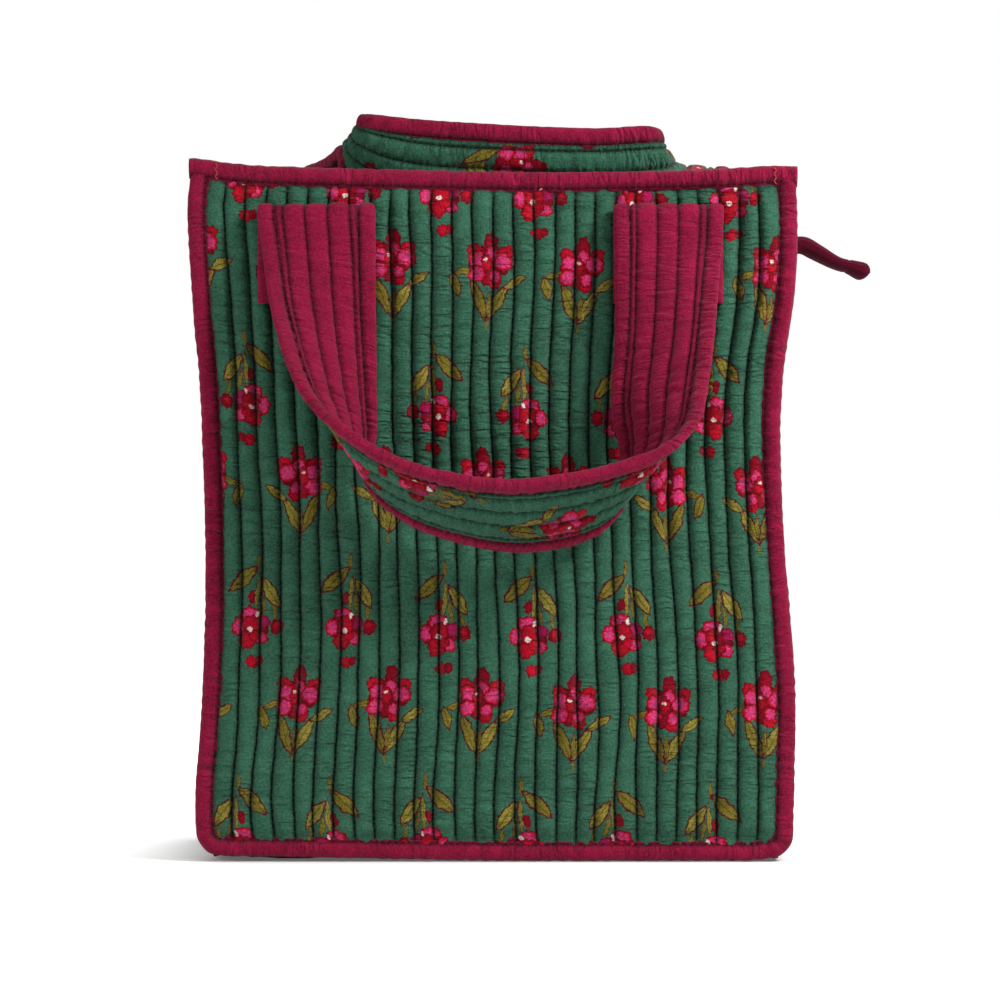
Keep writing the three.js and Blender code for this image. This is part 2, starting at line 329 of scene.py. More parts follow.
# Half width by height of the even back wall, which the gussets and linings follow too
HALF_WIDTH = [(0, 120), (24, 120), (60, 118.8), (100, 116.9), (150, 116), (190, 118), (230, 121), (262, 122),
              (278, 122)]
left_side, right_side, top_edge, bottom_edge, half_width = (
    read_curve(stations) for stations in (LEFT_SIDE, RIGHT_SIDE, TOP_EDGE, BOTTOM_EDGE, HALF_WIDTH))


class Wall:
    """The outline of one wall. The front one is drawn from the photograph, the back one is even."""

    def __init__(self, front):
        self.front = front
        self.sign = -1 if front else 1
        self.word = "front" if front else "back"

    def left(self, z):
        return left_side(z) if self.front else -half_width(z)

    def right(self, z):
        return right_side(z) if self.front else half_width(z)

    def top(self, x):
        return top_edge(x) if self.front else np.full_like(np.asarray(x, float), BAG_TOP)

    def bottom(self, x):
        return np.maximum(bottom_edge(x), 0) if self.front else np.zeros_like(np.asarray(x, float))


# Quilting
def quilt_height(across_channels, along, depth, seed, pucker_depth=1.0):
    """Puffed channels with small puckers where the running stitch draws the cloth in."""
    index = np.floor(np.clip(across_channels, 0, None))
    fraction = across_channels - index
    uneven = Ripple((3, 45), seed)
    pucker = Ripple((34, 6.5), seed + 1, waves=11)
    fine = Ripple((16, 3.3), seed + 2, waves=11)
    puff = depth * (4 * fraction * (1 - fraction)) ** 0.55 * (1 + 0.12 * uneven(index * 7.3, along))
    near_stitch = 0.4 + 0.6 * np.abs(2 * fraction - 1) ** 1.5
    drawn = 0.42 * pucker(index * 41.0 + fraction * 5, along) + 0.26 * fine(index * 23.0 + fraction * 4, along)
    edge = np.minimum(1, 5 * np.minimum(fraction, 1 - fraction) + 0.2)
    fold_line = Ripple((11, 13), seed + 5, waves=9)
    where = Ripple((7, 60), seed + 6)
    in_patch = smooth_step((where(across_channels, along) + 0.2) / 0.6)
    fold = bump_at(fold_line(across_channels, along), 0, 0.24) * in_patch
    return puff + pucker_depth * edge * (drawn * near_stitch - 0.42 * fold)


def quilt_wander(across_channels, along, seed, amount=0.45):
    """How far a hand-run stitch line wanders sideways."""
    index = np.floor(across_channels)
    wander = Ripple((2.2, 70), seed + 3)
    jitter = Ripple((1.1, 9), seed + 4)
    low, high = (wander(line * 5.1, along) + 0.22 * jitter(line * 3.7, along) for line in (index, index + 1))
    return amount * between(low, high, across_channels - index)


def stitch_distance(channels, channel=CHANNEL):
    """Millimetres from the nearest stitch line, for even channels."""
    def distance(across, along):
        fraction = across * channels - np.floor(across * channels + 1e-6)
        return np.abs(np.minimum(fraction, 1 - fraction)) * channel
    return distance


QUILT_DEPTH = 3.3
QUILT_LOW = 2.2
WALL_CHANNELS = 28
SIDE_CHANNELS = 14
FLAP_CHANNELS = 5
WALL_ROWS = 250


def flattened(height, across, channels, under_binding):
    """Quilting pressed down at a panel's sides and where a binding covers it."""
    return height * (0.3 + 0.7 * from_ends(across, channels * 1.3)) * (0.25 + 0.75 * under_binding)


def quilted_grid(name, channels, steps, rows, place, length):
    """A grid of even channels, each of them some steps wide."""
    return cloth_grid(name, channels * steps, rows, place, channels * CHANNEL, length, stitch_distance(channels))


def quilted_wall(wall, name):
    tuck = BINDING - 1.2
    low, high = BINDING - 2.5, BAG_TOP - BINDING + 2.5
    sag = Ripple((160, 120), 31 if wall.front else 32)

    def place(across, along):
        z = between(low, high, along)
        lanes = across * WALL_CHANNELS
        x = between(wall.left(z) + tuck, wall.right(z) - tuck, across) + quilt_wander(lanes, z, 11)
        height = quilt_height(lanes, z, QUILT_DEPTH, 21 if wall.front else 51)
        clear = smooth_step((BAG_TOP - BINDING + 0.5 - z) / 6.5) * smooth_step((z - BINDING + 0.5) / 6.5)
        lift = 0.5 * sag(x, z) * from_ends(along, 9)
        proud = WALL_FACE - QUILT_LOW + flattened(height, across, WALL_CHANNELS, clear) + lift
        return at(x, wall.sign * proud, z + (wall.top(x) - BAG_TOP) * along)

    return quilted_grid(name, WALL_CHANNELS, 12, WALL_ROWS, place, high - low)


# Shader nodes
def srgb(red, green, blue):
    """A colour as seen on screen, 0 to 255, in the linear values that shaders use."""
    return tuple((c / 255) ** 2.2 for c in (red, green, blue)) + (1.0,)


def shade_of(colour, factor, alpha=1.0):
    return tuple(c * factor for c in colour[:3]) + (alpha,)


def operation(name, swapped=False):
    def act(value, other=0.0):
        return value.nodes.math(name, *((other, value) if swapped else (value, other)))
    return act


class Value:
    """A node's output, which adds up, scales and compares like a number."""

    def __init__(self, nodes, socket):
        self.nodes, self.socket = nodes, socket

    __add__, __radd__ = operation("ADD"), operation("ADD", True)
    __sub__, __rsub__ = operation("SUBTRACT"), operation("SUBTRACT", True)
    __mul__, __truediv__, __mod__ = operation("MULTIPLY"), operation("DIVIDE"), operation("MODULO")
    __lt__, __gt__ = operation("LESS_THAN"), operation("GREATER_THAN")
    __abs__, floor, fract = operation("ABSOLUTE"), operation("FLOOR"), operation("FRACT")
    round, sine, max = operation("ROUND"), operation("SINE"), operation("MAXIMUM")
    angle_over = operation("ARCTAN2")


class Nodes:
    """Adds nodes to one tree, with their inputs linked or set by name."""

    def __init__(self, tree):
        self.tree = tree

    def add(self, kind, inputs=None, **settings):
        node = self.tree.nodes.new("ShaderNode" + kind)
        for key, value in settings.items():
            setattr(node, key, value)
        for key, value in (inputs or {}).items():
            self.feed(node.inputs[key], value)
        return node

    def feed(self, socket, value):
        if isinstance(value, Value):
            self.tree.links.new(value.socket, socket)
        else:
            socket.default_value = value

    def get(self, kind, inputs=None, output=0, **settings):
        """Adds a node and gives one of its outputs."""
        return Value(self, self.add(kind, inputs, **settings).outputs[output])

    def math(self, name, a, b=0.0):
        return self.get("Math", {0: a, 1: b}, operation=name)

    def vector(self, name, a, b=(0, 0, 0), output=0):
        return self.get("VectorMath", {0: a, 1: b}, output, operation=name)

    def mix(self, factor, a, b, blend="MIX"):
        return self.get("Mix", {0: factor, 6: a, 7: b}, 2, data_type="RGBA", blend_type=blend)

    def fade(self, value, start, end, first, last, smooth=False):
        """Goes from first to last while the value goes from start to end."""
        inputs = {"Value": value, "From Min": start, "From Max": end, "To Min": first, "To Max": last}
        return self.get("MapRange", inputs, interpolation_type="SMOOTHSTEP" if smooth else "LINEAR")

    def ramp(self, value, stops):
        """The colour and the alpha of a ramp."""
        node = self.add("ValToRGB", {"Fac": value})
        elements = node.color_ramp.elements
        while len(elements) < len(stops):
            elements.new(1.0)
        for element, (position, colour) in zip(elements, stops):
            element.position = position
            element.color = colour
        return Value(self, node.outputs["Color"]), Value(self, node.outputs["Alpha"])

    def noise(self, vector, scale, detail=3.0, roughness=0.5, output="Fac"):
        inputs = {"Vector": vector, "Scale": scale, "Detail": detail, "Roughness": roughness}
        return self.get("TexNoise", inputs, output)

    def placed(self, vector, kind="POINT", location=(0, 0), turn=0.0, scale=(1, 1)):
        """A flat point, moved, turned in degrees and scaled."""
        inputs = {"Vector": vector, "Location": (*location, 0), "Rotation": (0, 0, math.radians(turn)),
                  "Scale": (*scale, 1)}
        return self.get("Mapping", inputs, vector_type=kind)

    def split(self, vector):
        node = self.add("SeparateXYZ", {0: vector})
        return [Value(self, socket) for socket in node.outputs]

    def join(self, x, y, z=0.0):
        return self.get("CombineXYZ", {0: x, 1: y, 2: z})

    def bump(self, height, distance, strength=1.0):
        return self.get("Bump", {"Strength": strength, "Distance": distance, "Height": height}, "Normal")

    def object_place(self):
        return self.get("TexCoord", output="Object")

    def uv_place(self):
        return self.get("UVMap")

    def direct_rays(self):
        """1 where the eye sees the surface itself, in a mirror or through glass."""
        rays = self.add("LightPath").outputs
        seen, mirrored, through_glass = (
            Value(self, rays[f"Is {kind} Ray"]) for kind in ("Camera", "Glossy", "Transmission"))
        return seen.max(mirrored.max(through_glass))

    def use(self, key, inputs):
        """One of the shared groups, with its outputs by name."""
        node = self.add("Group")
        node.node_tree = GROUPS[key]
        for label, value in inputs.items():
            self.feed(node.inputs[label], value)
        return {socket.name: Value(self, socket) for socket in node.outputs}

    def end(self, shader, kind="Material"):
        self.add("Output" + kind, {"Surface": Value(self, shader.outputs[0])})


SOCKETS = {"Vector": "Vector", "Normal": "Vector", "Color": "Color", "Ground": "Color"}


def new_group(name, inputs, outputs):
    """A shared effect: its tree, the values given to it, and the node that takes its results."""
    group = bpy.data.node_groups.new(name, "ShaderNodeTree")
    for way, labels in (("INPUT", inputs), ("OUTPUT", outputs)):
        for label in labels:
            kind = "NodeSocket" + SOCKETS.get(label, "Float")
            socket = group.interface.new_socket(label, in_out=way, socket_type=kind)
            if way == "INPUT" and inputs[label] is not None:
                socket.default_value = inputs[label]
    nodes = Nodes(group)
    given = group.nodes.new("NodeGroupInput")
    result = group.nodes.new("NodeGroupOutput")
    return group, nodes, [Value(nodes, given.outputs[label]) for label in inputs], result


# Printed flowers, in millimetres from the flower's middle. A leaf or petal is its
# middle x and y, half length, half width, angle in degrees and colour.
RED = srgb(186, 18, 42)
DEEP_RED = srgb(142, 10, 36)
PINK = srgb(214, 62, 118)
MAGENTA = srgb(168, 26, 82)
OLIVE = srgb(122, 114, 42)
PALE_OLIVE = srgb(142, 134, 56)
OUTLINE = srgb(86, 20, 34)
PETAL_RIM = srgb(96, 8, 26)
CREAM = srgb(238, 216, 204)

UPRIGHT_LEAVES = [
    (0.2, -25.0, 2.2, 0.7, 82, OLIVE), (-3.9, -14.6, 9.8, 2.6, 112, OLIVE), (3.6, -15.8, 9.0, 2.6, 63, PALE_OLIVE),
    (0.4, -16.6, 5.6, 1.1, 88, OLIVE), (10.2, -7.3, 5.6, 2.1, 34, PALE_OLIVE), (-10.2, -3.6, 4.2, 1.6, 196, OLIVE),
    (-13.4, -8.6, 5.6, 2.2, -72, OLIVE)]
UPRIGHT_PETALS = [
    (-3.0, 1.0, 5.6, 5.2, 60, DEEP_RED), (3.6, 0.4, 5.4, 5.2, 120, DEEP_RED), (0.0, -5.0, 5.0, 4.4, 0, DEEP_RED),
    (2.4, -7.6, 3.0, 2.8, 262, RED), (0.7, 7.6, 4.9, 2.9, 86, DEEP_RED), (-5.4, 4.4, 3.9, 2.9, 142, RED),
    (6.2, 4.4, 3.6, 2.8, 34, RED), (5.2, 0.8, 4.3, 3.9, -20, PINK), (-4.6, 1.2, 4.1, 3.6, 120, PINK),
    (-5.0, -4.4, 3.9, 3.4, 215, PINK), (0.8, 4.0, 3.2, 2.5, 100, PINK), (2.4, -5.2, 2.9, 2.5, 262, PINK),
    (-0.9, 0.2, 3.7, 2.1, 92, RED), (-1.2, 1.4, 0.8, 0.7, 0, CREAM)]
HANGING_LEAVES = [
    (1.8, 26.6, 4.0, 0.9, 84, OLIVE), (-4.4, 19.4, 8.4, 3.1, 43, OLIVE), (7.4, 14.4, 7.6, 2.9, -56, PALE_OLIVE),
    (1.9, 14.0, 8.6, 1.1, 86, PALE_OLIVE), (4.4, 9.6, 5.6, 1.0, 100, OLIVE), (9.4, 6.2, 4.4, 0.9, 100, OLIVE)]
HANGING_PETALS = [
    (-0.4, 12.4, 2.8, 1.6, 82, DEEP_RED), (10.3, 1.0, 3.2, 2.8, 80, DEEP_RED), (10.0, 1.6, 1.8, 1.5, 80, RED),
    (1.0, -13.4, 2.7, 2.5, 0, RED), (3.8, -13.0, 2.2, 1.6, 80, DEEP_RED), (0.2, 0.8, 5.6, 7.4, 90, DEEP_RED),
    (-5.6, 0.4, 2.8, 3.8, 180, PINK), (4.6, 2.6, 3.2, 2.8, 20, MAGENTA), (4.2, -3.8, 2.9, 2.7, 0, PINK),
    (-0.8, 5.4, 4.4, 3.4, 0, PINK), (-1.2, -4.8, 4.0, 3.6, 250, RED), (0.0, 1.4, 4.0, 3.8, 90, RED),
    (1.6, -3.0, 2.0, 2.6, 90, RED), (-0.4, -0.6, 1.15, 1.0, 0, CREAM), (2.2, 5.6, 1.3, 0.7, 70, CREAM)]

COLUMN_PITCH = 38.0
ROW_PITCH = 88.0
# How far a flower strays from its place in the repeat
STRAY_X, STRAY_Y = 2.6, 3.0


def paint_leaf(nodes, point, colour, below):
    """An almond with a dark edge and a dark vein."""
    x, y, _ = nodes.split(point)
    width = abs(y)
    reach = width + x * x
    edge = [(0.80, OUTLINE), (0.97, OUTLINE), (1.0, shade_of(OUTLINE, 1, 0.0))]
    body, cover = nodes.ramp(reach, [(0.0, colour), (0.70, colour)] + edge)
    vein = (width < 0.09) * (reach < 0.8)
    return nodes.mix(vein * 0.6, nodes.mix(cover, below, body), OUTLINE)


def paint_petal(nodes, point, colour, below):
    """A frilled petal with a deep rim and darker strokes running out from its middle."""
    x, y, _ = nodes.split(point)
    spokes = (y.angle_over(x) * 7.0).sine()
    reach = nodes.vector("LENGTH", point, output="Value") * (spokes * 0.07 + 1.0)
    border, rim = (RED if colour == PINK else shade_of(colour, 0.72)), PETAL_RIM
    if colour == CREAM:
        border = rim = colour
    edge = [(0.76, border), (0.84, border), (0.9, rim), (0.97, rim), (1.0, shade_of(rim, 1, 0.0))]
    body, cover = nodes.ramp(reach, [(0.0, colour), (0.6, colour)] + edge)
    stroke = (spokes > 0.72) * (reach > 0.34)
    return nodes.mix(cover, below, nodes.mix(stroke * 0.55, body, border))


def print_rows(nodes, flat, shift_x, shift_y, leaves, petals, below):
    """Lays one motif in every column of every row, turned over in each other row."""
    column_place = (flat[0] - shift_x) / COLUMN_PITCH
    row_place = (flat[1] - shift_y) / ROW_PITCH
    row = row_place.floor()
    cell = nodes.join(column_place.floor(), row, shift_y)
    chance = nodes.split(nodes.get("TexWhiteNoise", {"Vector": cell}, "Color", noise_dimensions="3D"))
    x = (column_place.fract() - 0.5) * COLUMN_PITCH + (chance[0] - 0.5) * STRAY_X
    y = (row_place.fract() - 0.5) * ROW_PITCH + (chance[1] - 0.5) * STRAY_Y
    point = nodes.join(x * (1.0 - abs(row % 2.0) * 2.0), y)
    painted = below
    for paint, shapes in ((paint_leaf, leaves), (paint_petal, petals)):
        for middle_x, middle_y, half_length, half_wide, angle, colour in shapes:
            local = nodes.placed(point, "TEXTURE", (middle_x, middle_y), angle, (half_length, half_wide))
            painted = paint(nodes, local, colour, painted)
    return painted


def flower_print():
    """The printed repeat over its ground colour, on millimetres of flat cloth."""
    group, nodes, (vector, ground), result = new_group("flower print", {"Vector": None, "Ground": None}, ["Color"])
    wobble = nodes.vector("SUBTRACT", nodes.noise(vector, 0.34, 4.0, 0.68, "Color"), (0.5, 0.5, 0.5))
    flat = nodes.split(nodes.vector("ADD", vector, nodes.vector("MULTIPLY", wobble, (3.2, 3.2, 0))))
    painted = print_rows(nodes, flat, 10.3, 18.0, UPRIGHT_LEAVES, UPRIGHT_PETALS, ground)
    painted = print_rows(nodes, flat, -8.2, 44.6, HANGING_LEAVES, HANGING_PETALS, painted)
    nodes.feed(result.inputs["Color"], painted)
    return group


def woven_cotton():
    """Thread, fuzz and uneven dye of brushed cotton, with painted shade in its creases and painted light on its
    raised puckers.
    """
    group, nodes, (vector, colour, crease, unevenness, depth), result = new_group(
        "woven cotton", {"Vector": None, "Color": None, "Crease": 0.0, "Unevenness": 1.1, "Crease depth": 0.5},
        ["Color", "Roughness", "Normal"])
    cloudy = nodes.noise(vector, 0.09)
    fuzz = nodes.noise(vector, 1.1, 4.0, 0.75)
    slub = nodes.noise(nodes.placed(vector, scale=(0.5, 3.2)), 1.0, 2.0, 0.6)
    warp, weft = (nodes.get("TexWave", {"Vector": vector, "Scale": 0.55, "Distortion": 1.2, "Detail": 1.0}, "Fac",
                            bands_direction=way) for way in "XY")
    hollow = crease * depth
    # Uneven dye from the noises, plus painted shade in the creases and painted light on the puckers
    dye_and_crease_shade = (cloudy - 0.5) * 0.9 + (fuzz - 0.5) * 2.3 + (slub - 0.5) * 0.9 + hollow * 0.34
    level = dye_and_crease_shade * unevenness + 1.0
    nodes.feed(result.inputs["Color"], nodes.mix(1.0, colour, nodes.join(level, level, level), "MULTIPLY"))
    nodes.feed(result.inputs["Roughness"], fuzz * 0.2 + 0.78)
    nodes.feed(result.inputs["Normal"], nodes.bump(warp * weft * 0.14 + fuzz * 0.34 + hollow * 2.5, 0.0011))
    return group


STITCH_STEP = 2.7


def stitch_line():
    """Painted shade and thread along the stitch lines, and the small creases that the stitches draw in the cloth."""
    group, nodes, (vector, distance), result = new_group(
        "stitch line", {"Vector": None, "Distance": 5.0}, ["Shade", "Line", "Thread", "Crease"])
    flat = nodes.split(vector)
    frayed = distance + (nodes.noise(vector, 0.9, 2.0) - 0.5) * 0.5
    lane = (flat[0] / CHANNEL).round()
    dash = (flat[1] / STITCH_STEP + lane * 1.37).fract() < 0.6
    # A narrow painted dark line of shade in each groove, stronger under the stitches
    line = nodes.fade(frayed, 0.12, 0.5, 1.0, 0.0, True)
    # Long folds, in patches, and short puckers that grow towards the stitches
    long_wave = nodes.noise(nodes.placed(vector, turn=6, scale=(0.05, 0.2)), 1.0, 2.5, 0.55)
    fold = nodes.fade(abs(long_wave - 0.5), 0.0, 0.11, 1.0, 0.0, True)
    patch = nodes.fade(nodes.noise(vector, 0.045, 1.0), 0.42, 0.55, 0.0, 1.0)
    short_wave = nodes.noise(nodes.placed(vector, scale=(0.11, 0.34)), 1.0, 2.0)
    pucker = (short_wave - 0.5) * nodes.fade(distance, 0.3, 3.4, 1.0, 0.3)
    pinch = nodes.fade(distance, 0.3, 2.2, 0.34, 0.0) * dash
    results = {"Shade": nodes.fade(frayed, 0.1, 1.7, 1.0, 0.0, True), "Line": line * (dash * 0.6 + 0.4),
               "Thread": (frayed < 0.26) * dash, "Crease": pucker - fold * patch * 0.34 - pinch}
    for label, value in results.items():
        nodes.feed(result.inputs[label], value)
    return group


GROUPS = {"print": flower_print(), "cotton": woven_cotton(), "stitch": stitch_line()}


def new_material(name):
    material = bpy.data.materials.new(name)
    material.use_nodes = True
    material.node_tree.nodes.clear()
    return material, Nodes(material.node_tree)


def cloth_shader(nodes, colour, roughness, normal, sheen=0.08):
    nodes.end(nodes.add("BsdfPrincipled", {
        "Base Color": colour, "Roughness": roughness, "Normal": normal, "Specular IOR Level": 0.1,
        "Sheen Weight": sheen, "Sheen Roughness": 0.45, "Sheen Tint": (1.0, 1.0, 1.0, 1.0)}))


def quilted_cloth(name, ground, groove_shade_colour, printed=False, shift=(0, 0), turn=0.0, creases=1.0):
    """Quilted cotton on its UV map, which is in millimetres with the channels along V."""
    material, nodes = new_material(name)
    uv = nodes.uv_place()
    colour = ground
    if printed:
        place = nodes.placed(uv, location=shift, turn=turn)
        colour = nodes.use("print", {"Vector": place, "Ground": ground})["Color"]
    distance = nodes.get("Attribute", output="Fac", attribute_name="from_stitch")
    lines = nodes.use("stitch", {"Vector": uv, "Distance": distance})
    # Painted shade in the stitch grooves: a broad darkening, then a narrow dark line; the thread is a lighter dash
    # over them
    colour = nodes.mix(lines["Shade"] * 0.55, colour, (0.16, 0.16, 0.16, 1), "MULTIPLY")
    colour = nodes.mix(lines["Line"] * 0.8, colour, groove_shade_colour)
    colour = nodes.mix(lines["Thread"] * 0.75, colour, shade_of(groove_shade_colour, 1.9))
    # The creases shape the bump and also go into the colour as painted shade
    cotton = nodes.use("cotton", {"Vector": uv, "Color": colour, "Crease": lines["Crease"], "Crease depth": creases})
    cloth_shader(nodes, *cotton.values())
    return material


def plain_cloth(name, colour, unevenness):
    material, nodes = new_material(name)
    cotton = nodes.use("cotton", {"Vector": nodes.uv_place(), "Color": colour, "Unevenness": unevenness})
    cloth_shader(nodes, *cotton.values(), sheen=0.04)
    return material


def object_cloth(name, colour, scale, roughness, strength):
    """A plain finish on Object coordinates, which needs no UV map."""
    material, nodes = new_material(name)
    grain = nodes.noise(nodes.object_place(), scale, 4.0, 0.6)
    colour = nodes.mix(grain, shade_of(colour, 0.7), colour)
    cloth_shader(nodes, colour, roughness, nodes.bump(grain, 0.0004, strength), 0.1)
    return material


def polished_metal(name):
    material, nodes = new_material(name)
    marks = nodes.noise(nodes.object_place(), 900.0, 4.0, 0.6)
    colour = nodes.mix(marks, srgb(190, 182, 165), srgb(214, 208, 196))
    nodes.end(nodes.add("BsdfPrincipled", {"Base Color": colour, "Roughness": marks * 0.2 + 0.22, "Metallic": 1.0}))
    return material


# Cloth colours; the deep ones are the painted shade in the stitch grooves, and lighter versions of them colour the
# thread
GREEN = srgb(60, 106, 84)
GREEN_GROOVE_SHADE = srgb(14, 38, 30)
MAROON = srgb(146, 27, 62)
MAROON_GROOVE_SHADE = srgb(58, 6, 28)

PRINTED = quilted_cloth("printed quilted cotton", GREEN, GREEN_GROOVE_SHADE, True, turn=1.3)
PRINTED_STRAP = quilted_cloth("printed strap cotton", GREEN, GREEN_GROOVE_SHADE, True, shift=(12, 3), turn=-2)
PRINTED_FLAP = quilted_cloth("printed mouth cotton", GREEN, GREEN_GROOVE_SHADE, True, shift=(7, 4), turn=90)
MAROON_STRAP = quilted_cloth("maroon strap lining", MAROON, MAROON_GROOVE_SHADE, creases=0.6)
BOUND = quilted_cloth("maroon binding cotton", MAROON, MAROON_GROOVE_SHADE, creases=0.9)
WOVEN_TAPE = plain_cloth("woven zip tape", srgb(76, 12, 32), 0.4)
TAB_CLOTH = plain_cloth("ribbed tab cloth", srgb(92, 14, 40), 0.5)
INSULATED = object_cloth("insulated lining", srgb(176, 178, 182), 300.0, 0.42, 0.25)
BOARD = object_cloth("base board", srgb(84, 84, 86), 240.0, 0.8, 0.3)
COIL = object_cloth("zip coil", srgb(96, 16, 40), 1500.0, 0.45, 0.15)
THREAD = object_cloth("stitching thread", srgb(178, 74, 78), 2000.0, 0.8, 0.2)
METAL = polished_metal("zip metal")


# Rounded cloth tubes: bindings and rolled edges
STITCH_IN = 1.5
CORNER_RADIUS = 9.5


def rounded(angle, squareness):
    """A rounded rectangle of half sizes 1 and 1."""
    return (np.sign(part) * np.abs(part) ** (2 / squareness) for part in (np.cos(angle), np.sin(angle)))


def binding_section(half_wide, half_thick, around):
    """Even points round a binding's section, two of them in the stitch grooves of its faces."""
    u, v = rounded(np.linspace(0, FULL_TURN, 721), 2.5)
    girth = reach_along(at(u * half_wide, v * half_thick))
    place = np.linspace(0, girth[-1], around + 1)
    groove = (half_wide - STITCH_IN) / half_wide
    for face in (1, -1):
        near = np.argmin(np.abs(u - groove) + 10 * (v * face < 0))
        place[1 + np.argmin(np.abs(place[1:-1] - girth[near]))] = girth[near]
    return np.interp(place, girth, u), np.interp(place, girth, v), girth[-1]


def bound_edge(name, path, inward, outward, half_wide, half_thick, seed, around=30, pucker=0.3,
               inner_thin=0.8, thick_at=None):
    """Bias binding folded over an edge. Path is its middle line; inward points away from the raw edge."""
    rows = len(path) - 1
    reach = reach_along(path)
    thick_at = np.ones(len(path)) if thick_at is None else thick_at
    ripple = Ripple((13, 7.5), seed, waves=9)
    gathers = Ripple((24, 3.9), seed + 1, waves=11)
    section_u, section_v, girth = binding_section(half_wide, half_thick, around)
    stitch_place = half_wide - STITCH_IN

    def stitches(across, along):
        column = np.rint(across * around).astype(int)
        return np.abs(section_u[column] * half_wide - stitch_place) + 4 * (np.abs(section_v[column]) < 0.5)

    def place(across, along):
        row = np.rint(along * rows).astype(int)
        column = np.rint(across * around).astype(int)
        u, v, s = section_u[column], section_v[column], reach[row]
        offset = u * half_wide
        thick = half_thick * (1 - (1 - inner_thin) * smooth_step((u + 1) / 2)) * thick_at[row]
        to_stitch = 0.3 + 0.9 * smooth_step((u + 1) / 1.6)
        swell = pucker * (0.8 * ripple(offset, s) + to_stitch * gathers(offset, s + 0.2 * offset))
        sunk = 0.75 * bump_at(offset, stitch_place, 0.55)
        wide = offset + 0.4 * pucker * ripple(3.0 * u, s * 1.3 + 7) * np.sign(u)
        high = thick * v + np.sign(v) * (swell - sunk) * smooth_step(np.abs(v) * 1.6)
        return path[row] + inward[row] * wide[:, None] + outward[row] * high[:, None]

    piece = cloth_grid(name, around, rows, place, girth, reach[-1], stitches)
    close_tube(piece)
    return piece


def wall_outline(wall, inset):
    """Down the left side, round the bottom corners and up the right side, inset from the raw edge."""
    sides_z = np.linspace(BAG_TOP - 0.6, CORNER_RADIUS + 2, 260)
    left = at(wall.left(sides_z), sides_z)
    right = at(wall.right(sides_z), sides_z)[::-1]
    turn = np.linspace(0, math.pi / 2, 20)[1:-1]
    middles, corners = [], []
    for start, quarter in ((left[-1, 0] + CORNER_RADIUS, (-np.cos(turn), -np.sin(turn))),
                           (right[0, 0] - CORNER_RADIUS, (np.sin(turn), -np.cos(turn)))):
        middles.append(start)
        corners.append((start, wall.bottom(start) + CORNER_RADIUS) + CORNER_RADIUS * at(*quarter))
    x = np.linspace(*middles, 200)
    bottom = at(x, wall.bottom(x))
    outline = soften(along_length(np.vstack([left, corners[0], bottom, corners[1], right]), 880), 12)
    tangent = unit(np.gradient(outline, axis=0))
    inward = at(-tangent[:, 1], tangent[:, 0])
    return outline + inward * inset, inward


def upright(flat, y=0.0):
    """Points of a wall's plane, put at their depth."""
    return at(flat[:, 0], y, flat[:, 1])


def wall_binding(wall, name, flat, inward, proud, wide, thick, seeds, last_word):
    path = upright(flat, wall.sign * (WALL_FACE + proud + WALL_INSIDE) / 2)
    outward = repeated([0, wall.sign, 0], len(flat))
    piece = bound_edge(name, path, inward, outward, wide, thick, seeds[0] if wall.front else seeds[1])
    finish_piece(piece, "bag", BOUND, "binding_cotton", wall.word + last_word)


def seam_binding(wall, name):
    flat, inward = wall_outline(wall, BINDING / 2)
    wall_binding(wall, name, flat, upright(inward), 0.9, BINDING / 2 + 0.1, 4.7, (70, 75), "_seam_binding")


def top_binding(wall, name):
    """Runs along the mouth and over the tops of the side bindings; its ends are capped here, where the real ones are
    turned under.
    """
    x = np.linspace(wall.left(BAG_TOP - 3) - 0.7, wall.right(BAG_TOP - 3) + 0.7, 290)
    flat = at(x, wall.top(x) - BINDING / 2)
    wall_binding(wall, name, flat, repeated([0, 0, -1], len(x)), 1.3, BINDING / 2 + 0.15, 5.2, (80, 85),
                 "_top_binding")


CORNER_STITCH_PLACES = (-111.8, 111.6)
CORNER_STITCH_STEP = 1.35


def corner_stitches(wall, name):
    """The short zigzags that hold the turned ends of the top binding."""
    threads = []
    for x in CORNER_STITCH_PLACES:
        top = float(wall.top(x)) - 1.5
        for step in range(5):
            bpy.ops.mesh.primitive_uv_sphere_add(
                segments=8, ring_count=6, radius=MM,
                location=(x * MM, wall.sign * (WALL_FACE + 1.35) * MM, (top - CORNER_STITCH_STEP * step) * MM),
                rotation=(0, math.radians(38 if step % 2 else -38), 0), scale=(0.27, 0.3, 0.98))
            bpy.ops.object.transform_apply(location=True, rotation=True, scale=True)
            threads.append(bpy.context.object)
    finish_piece(join(threads, name), "bag", THREAD, "binding_cotton")


def wall_piece(wall, name):
    piece = quilted_wall(wall, name)
    flat_back(piece, wall.sign * WALL_BACK)
    finish_piece(piece, "bag", PRINTED, "printed_cotton", wall.word + "_panel", wall.word + "_foam")


# Gussets and base
SIDE_DEPTH = 56.0
GUSSET_TOP = 241.0
GUSSET_THICK = 4.2
GUSSET_FROM_EDGE = 5.0
GUSSET_BINDING_IN = 9.3
BASE_REACH = 113.5


def side_word(side):
    return "left" if side < 0 else "right"


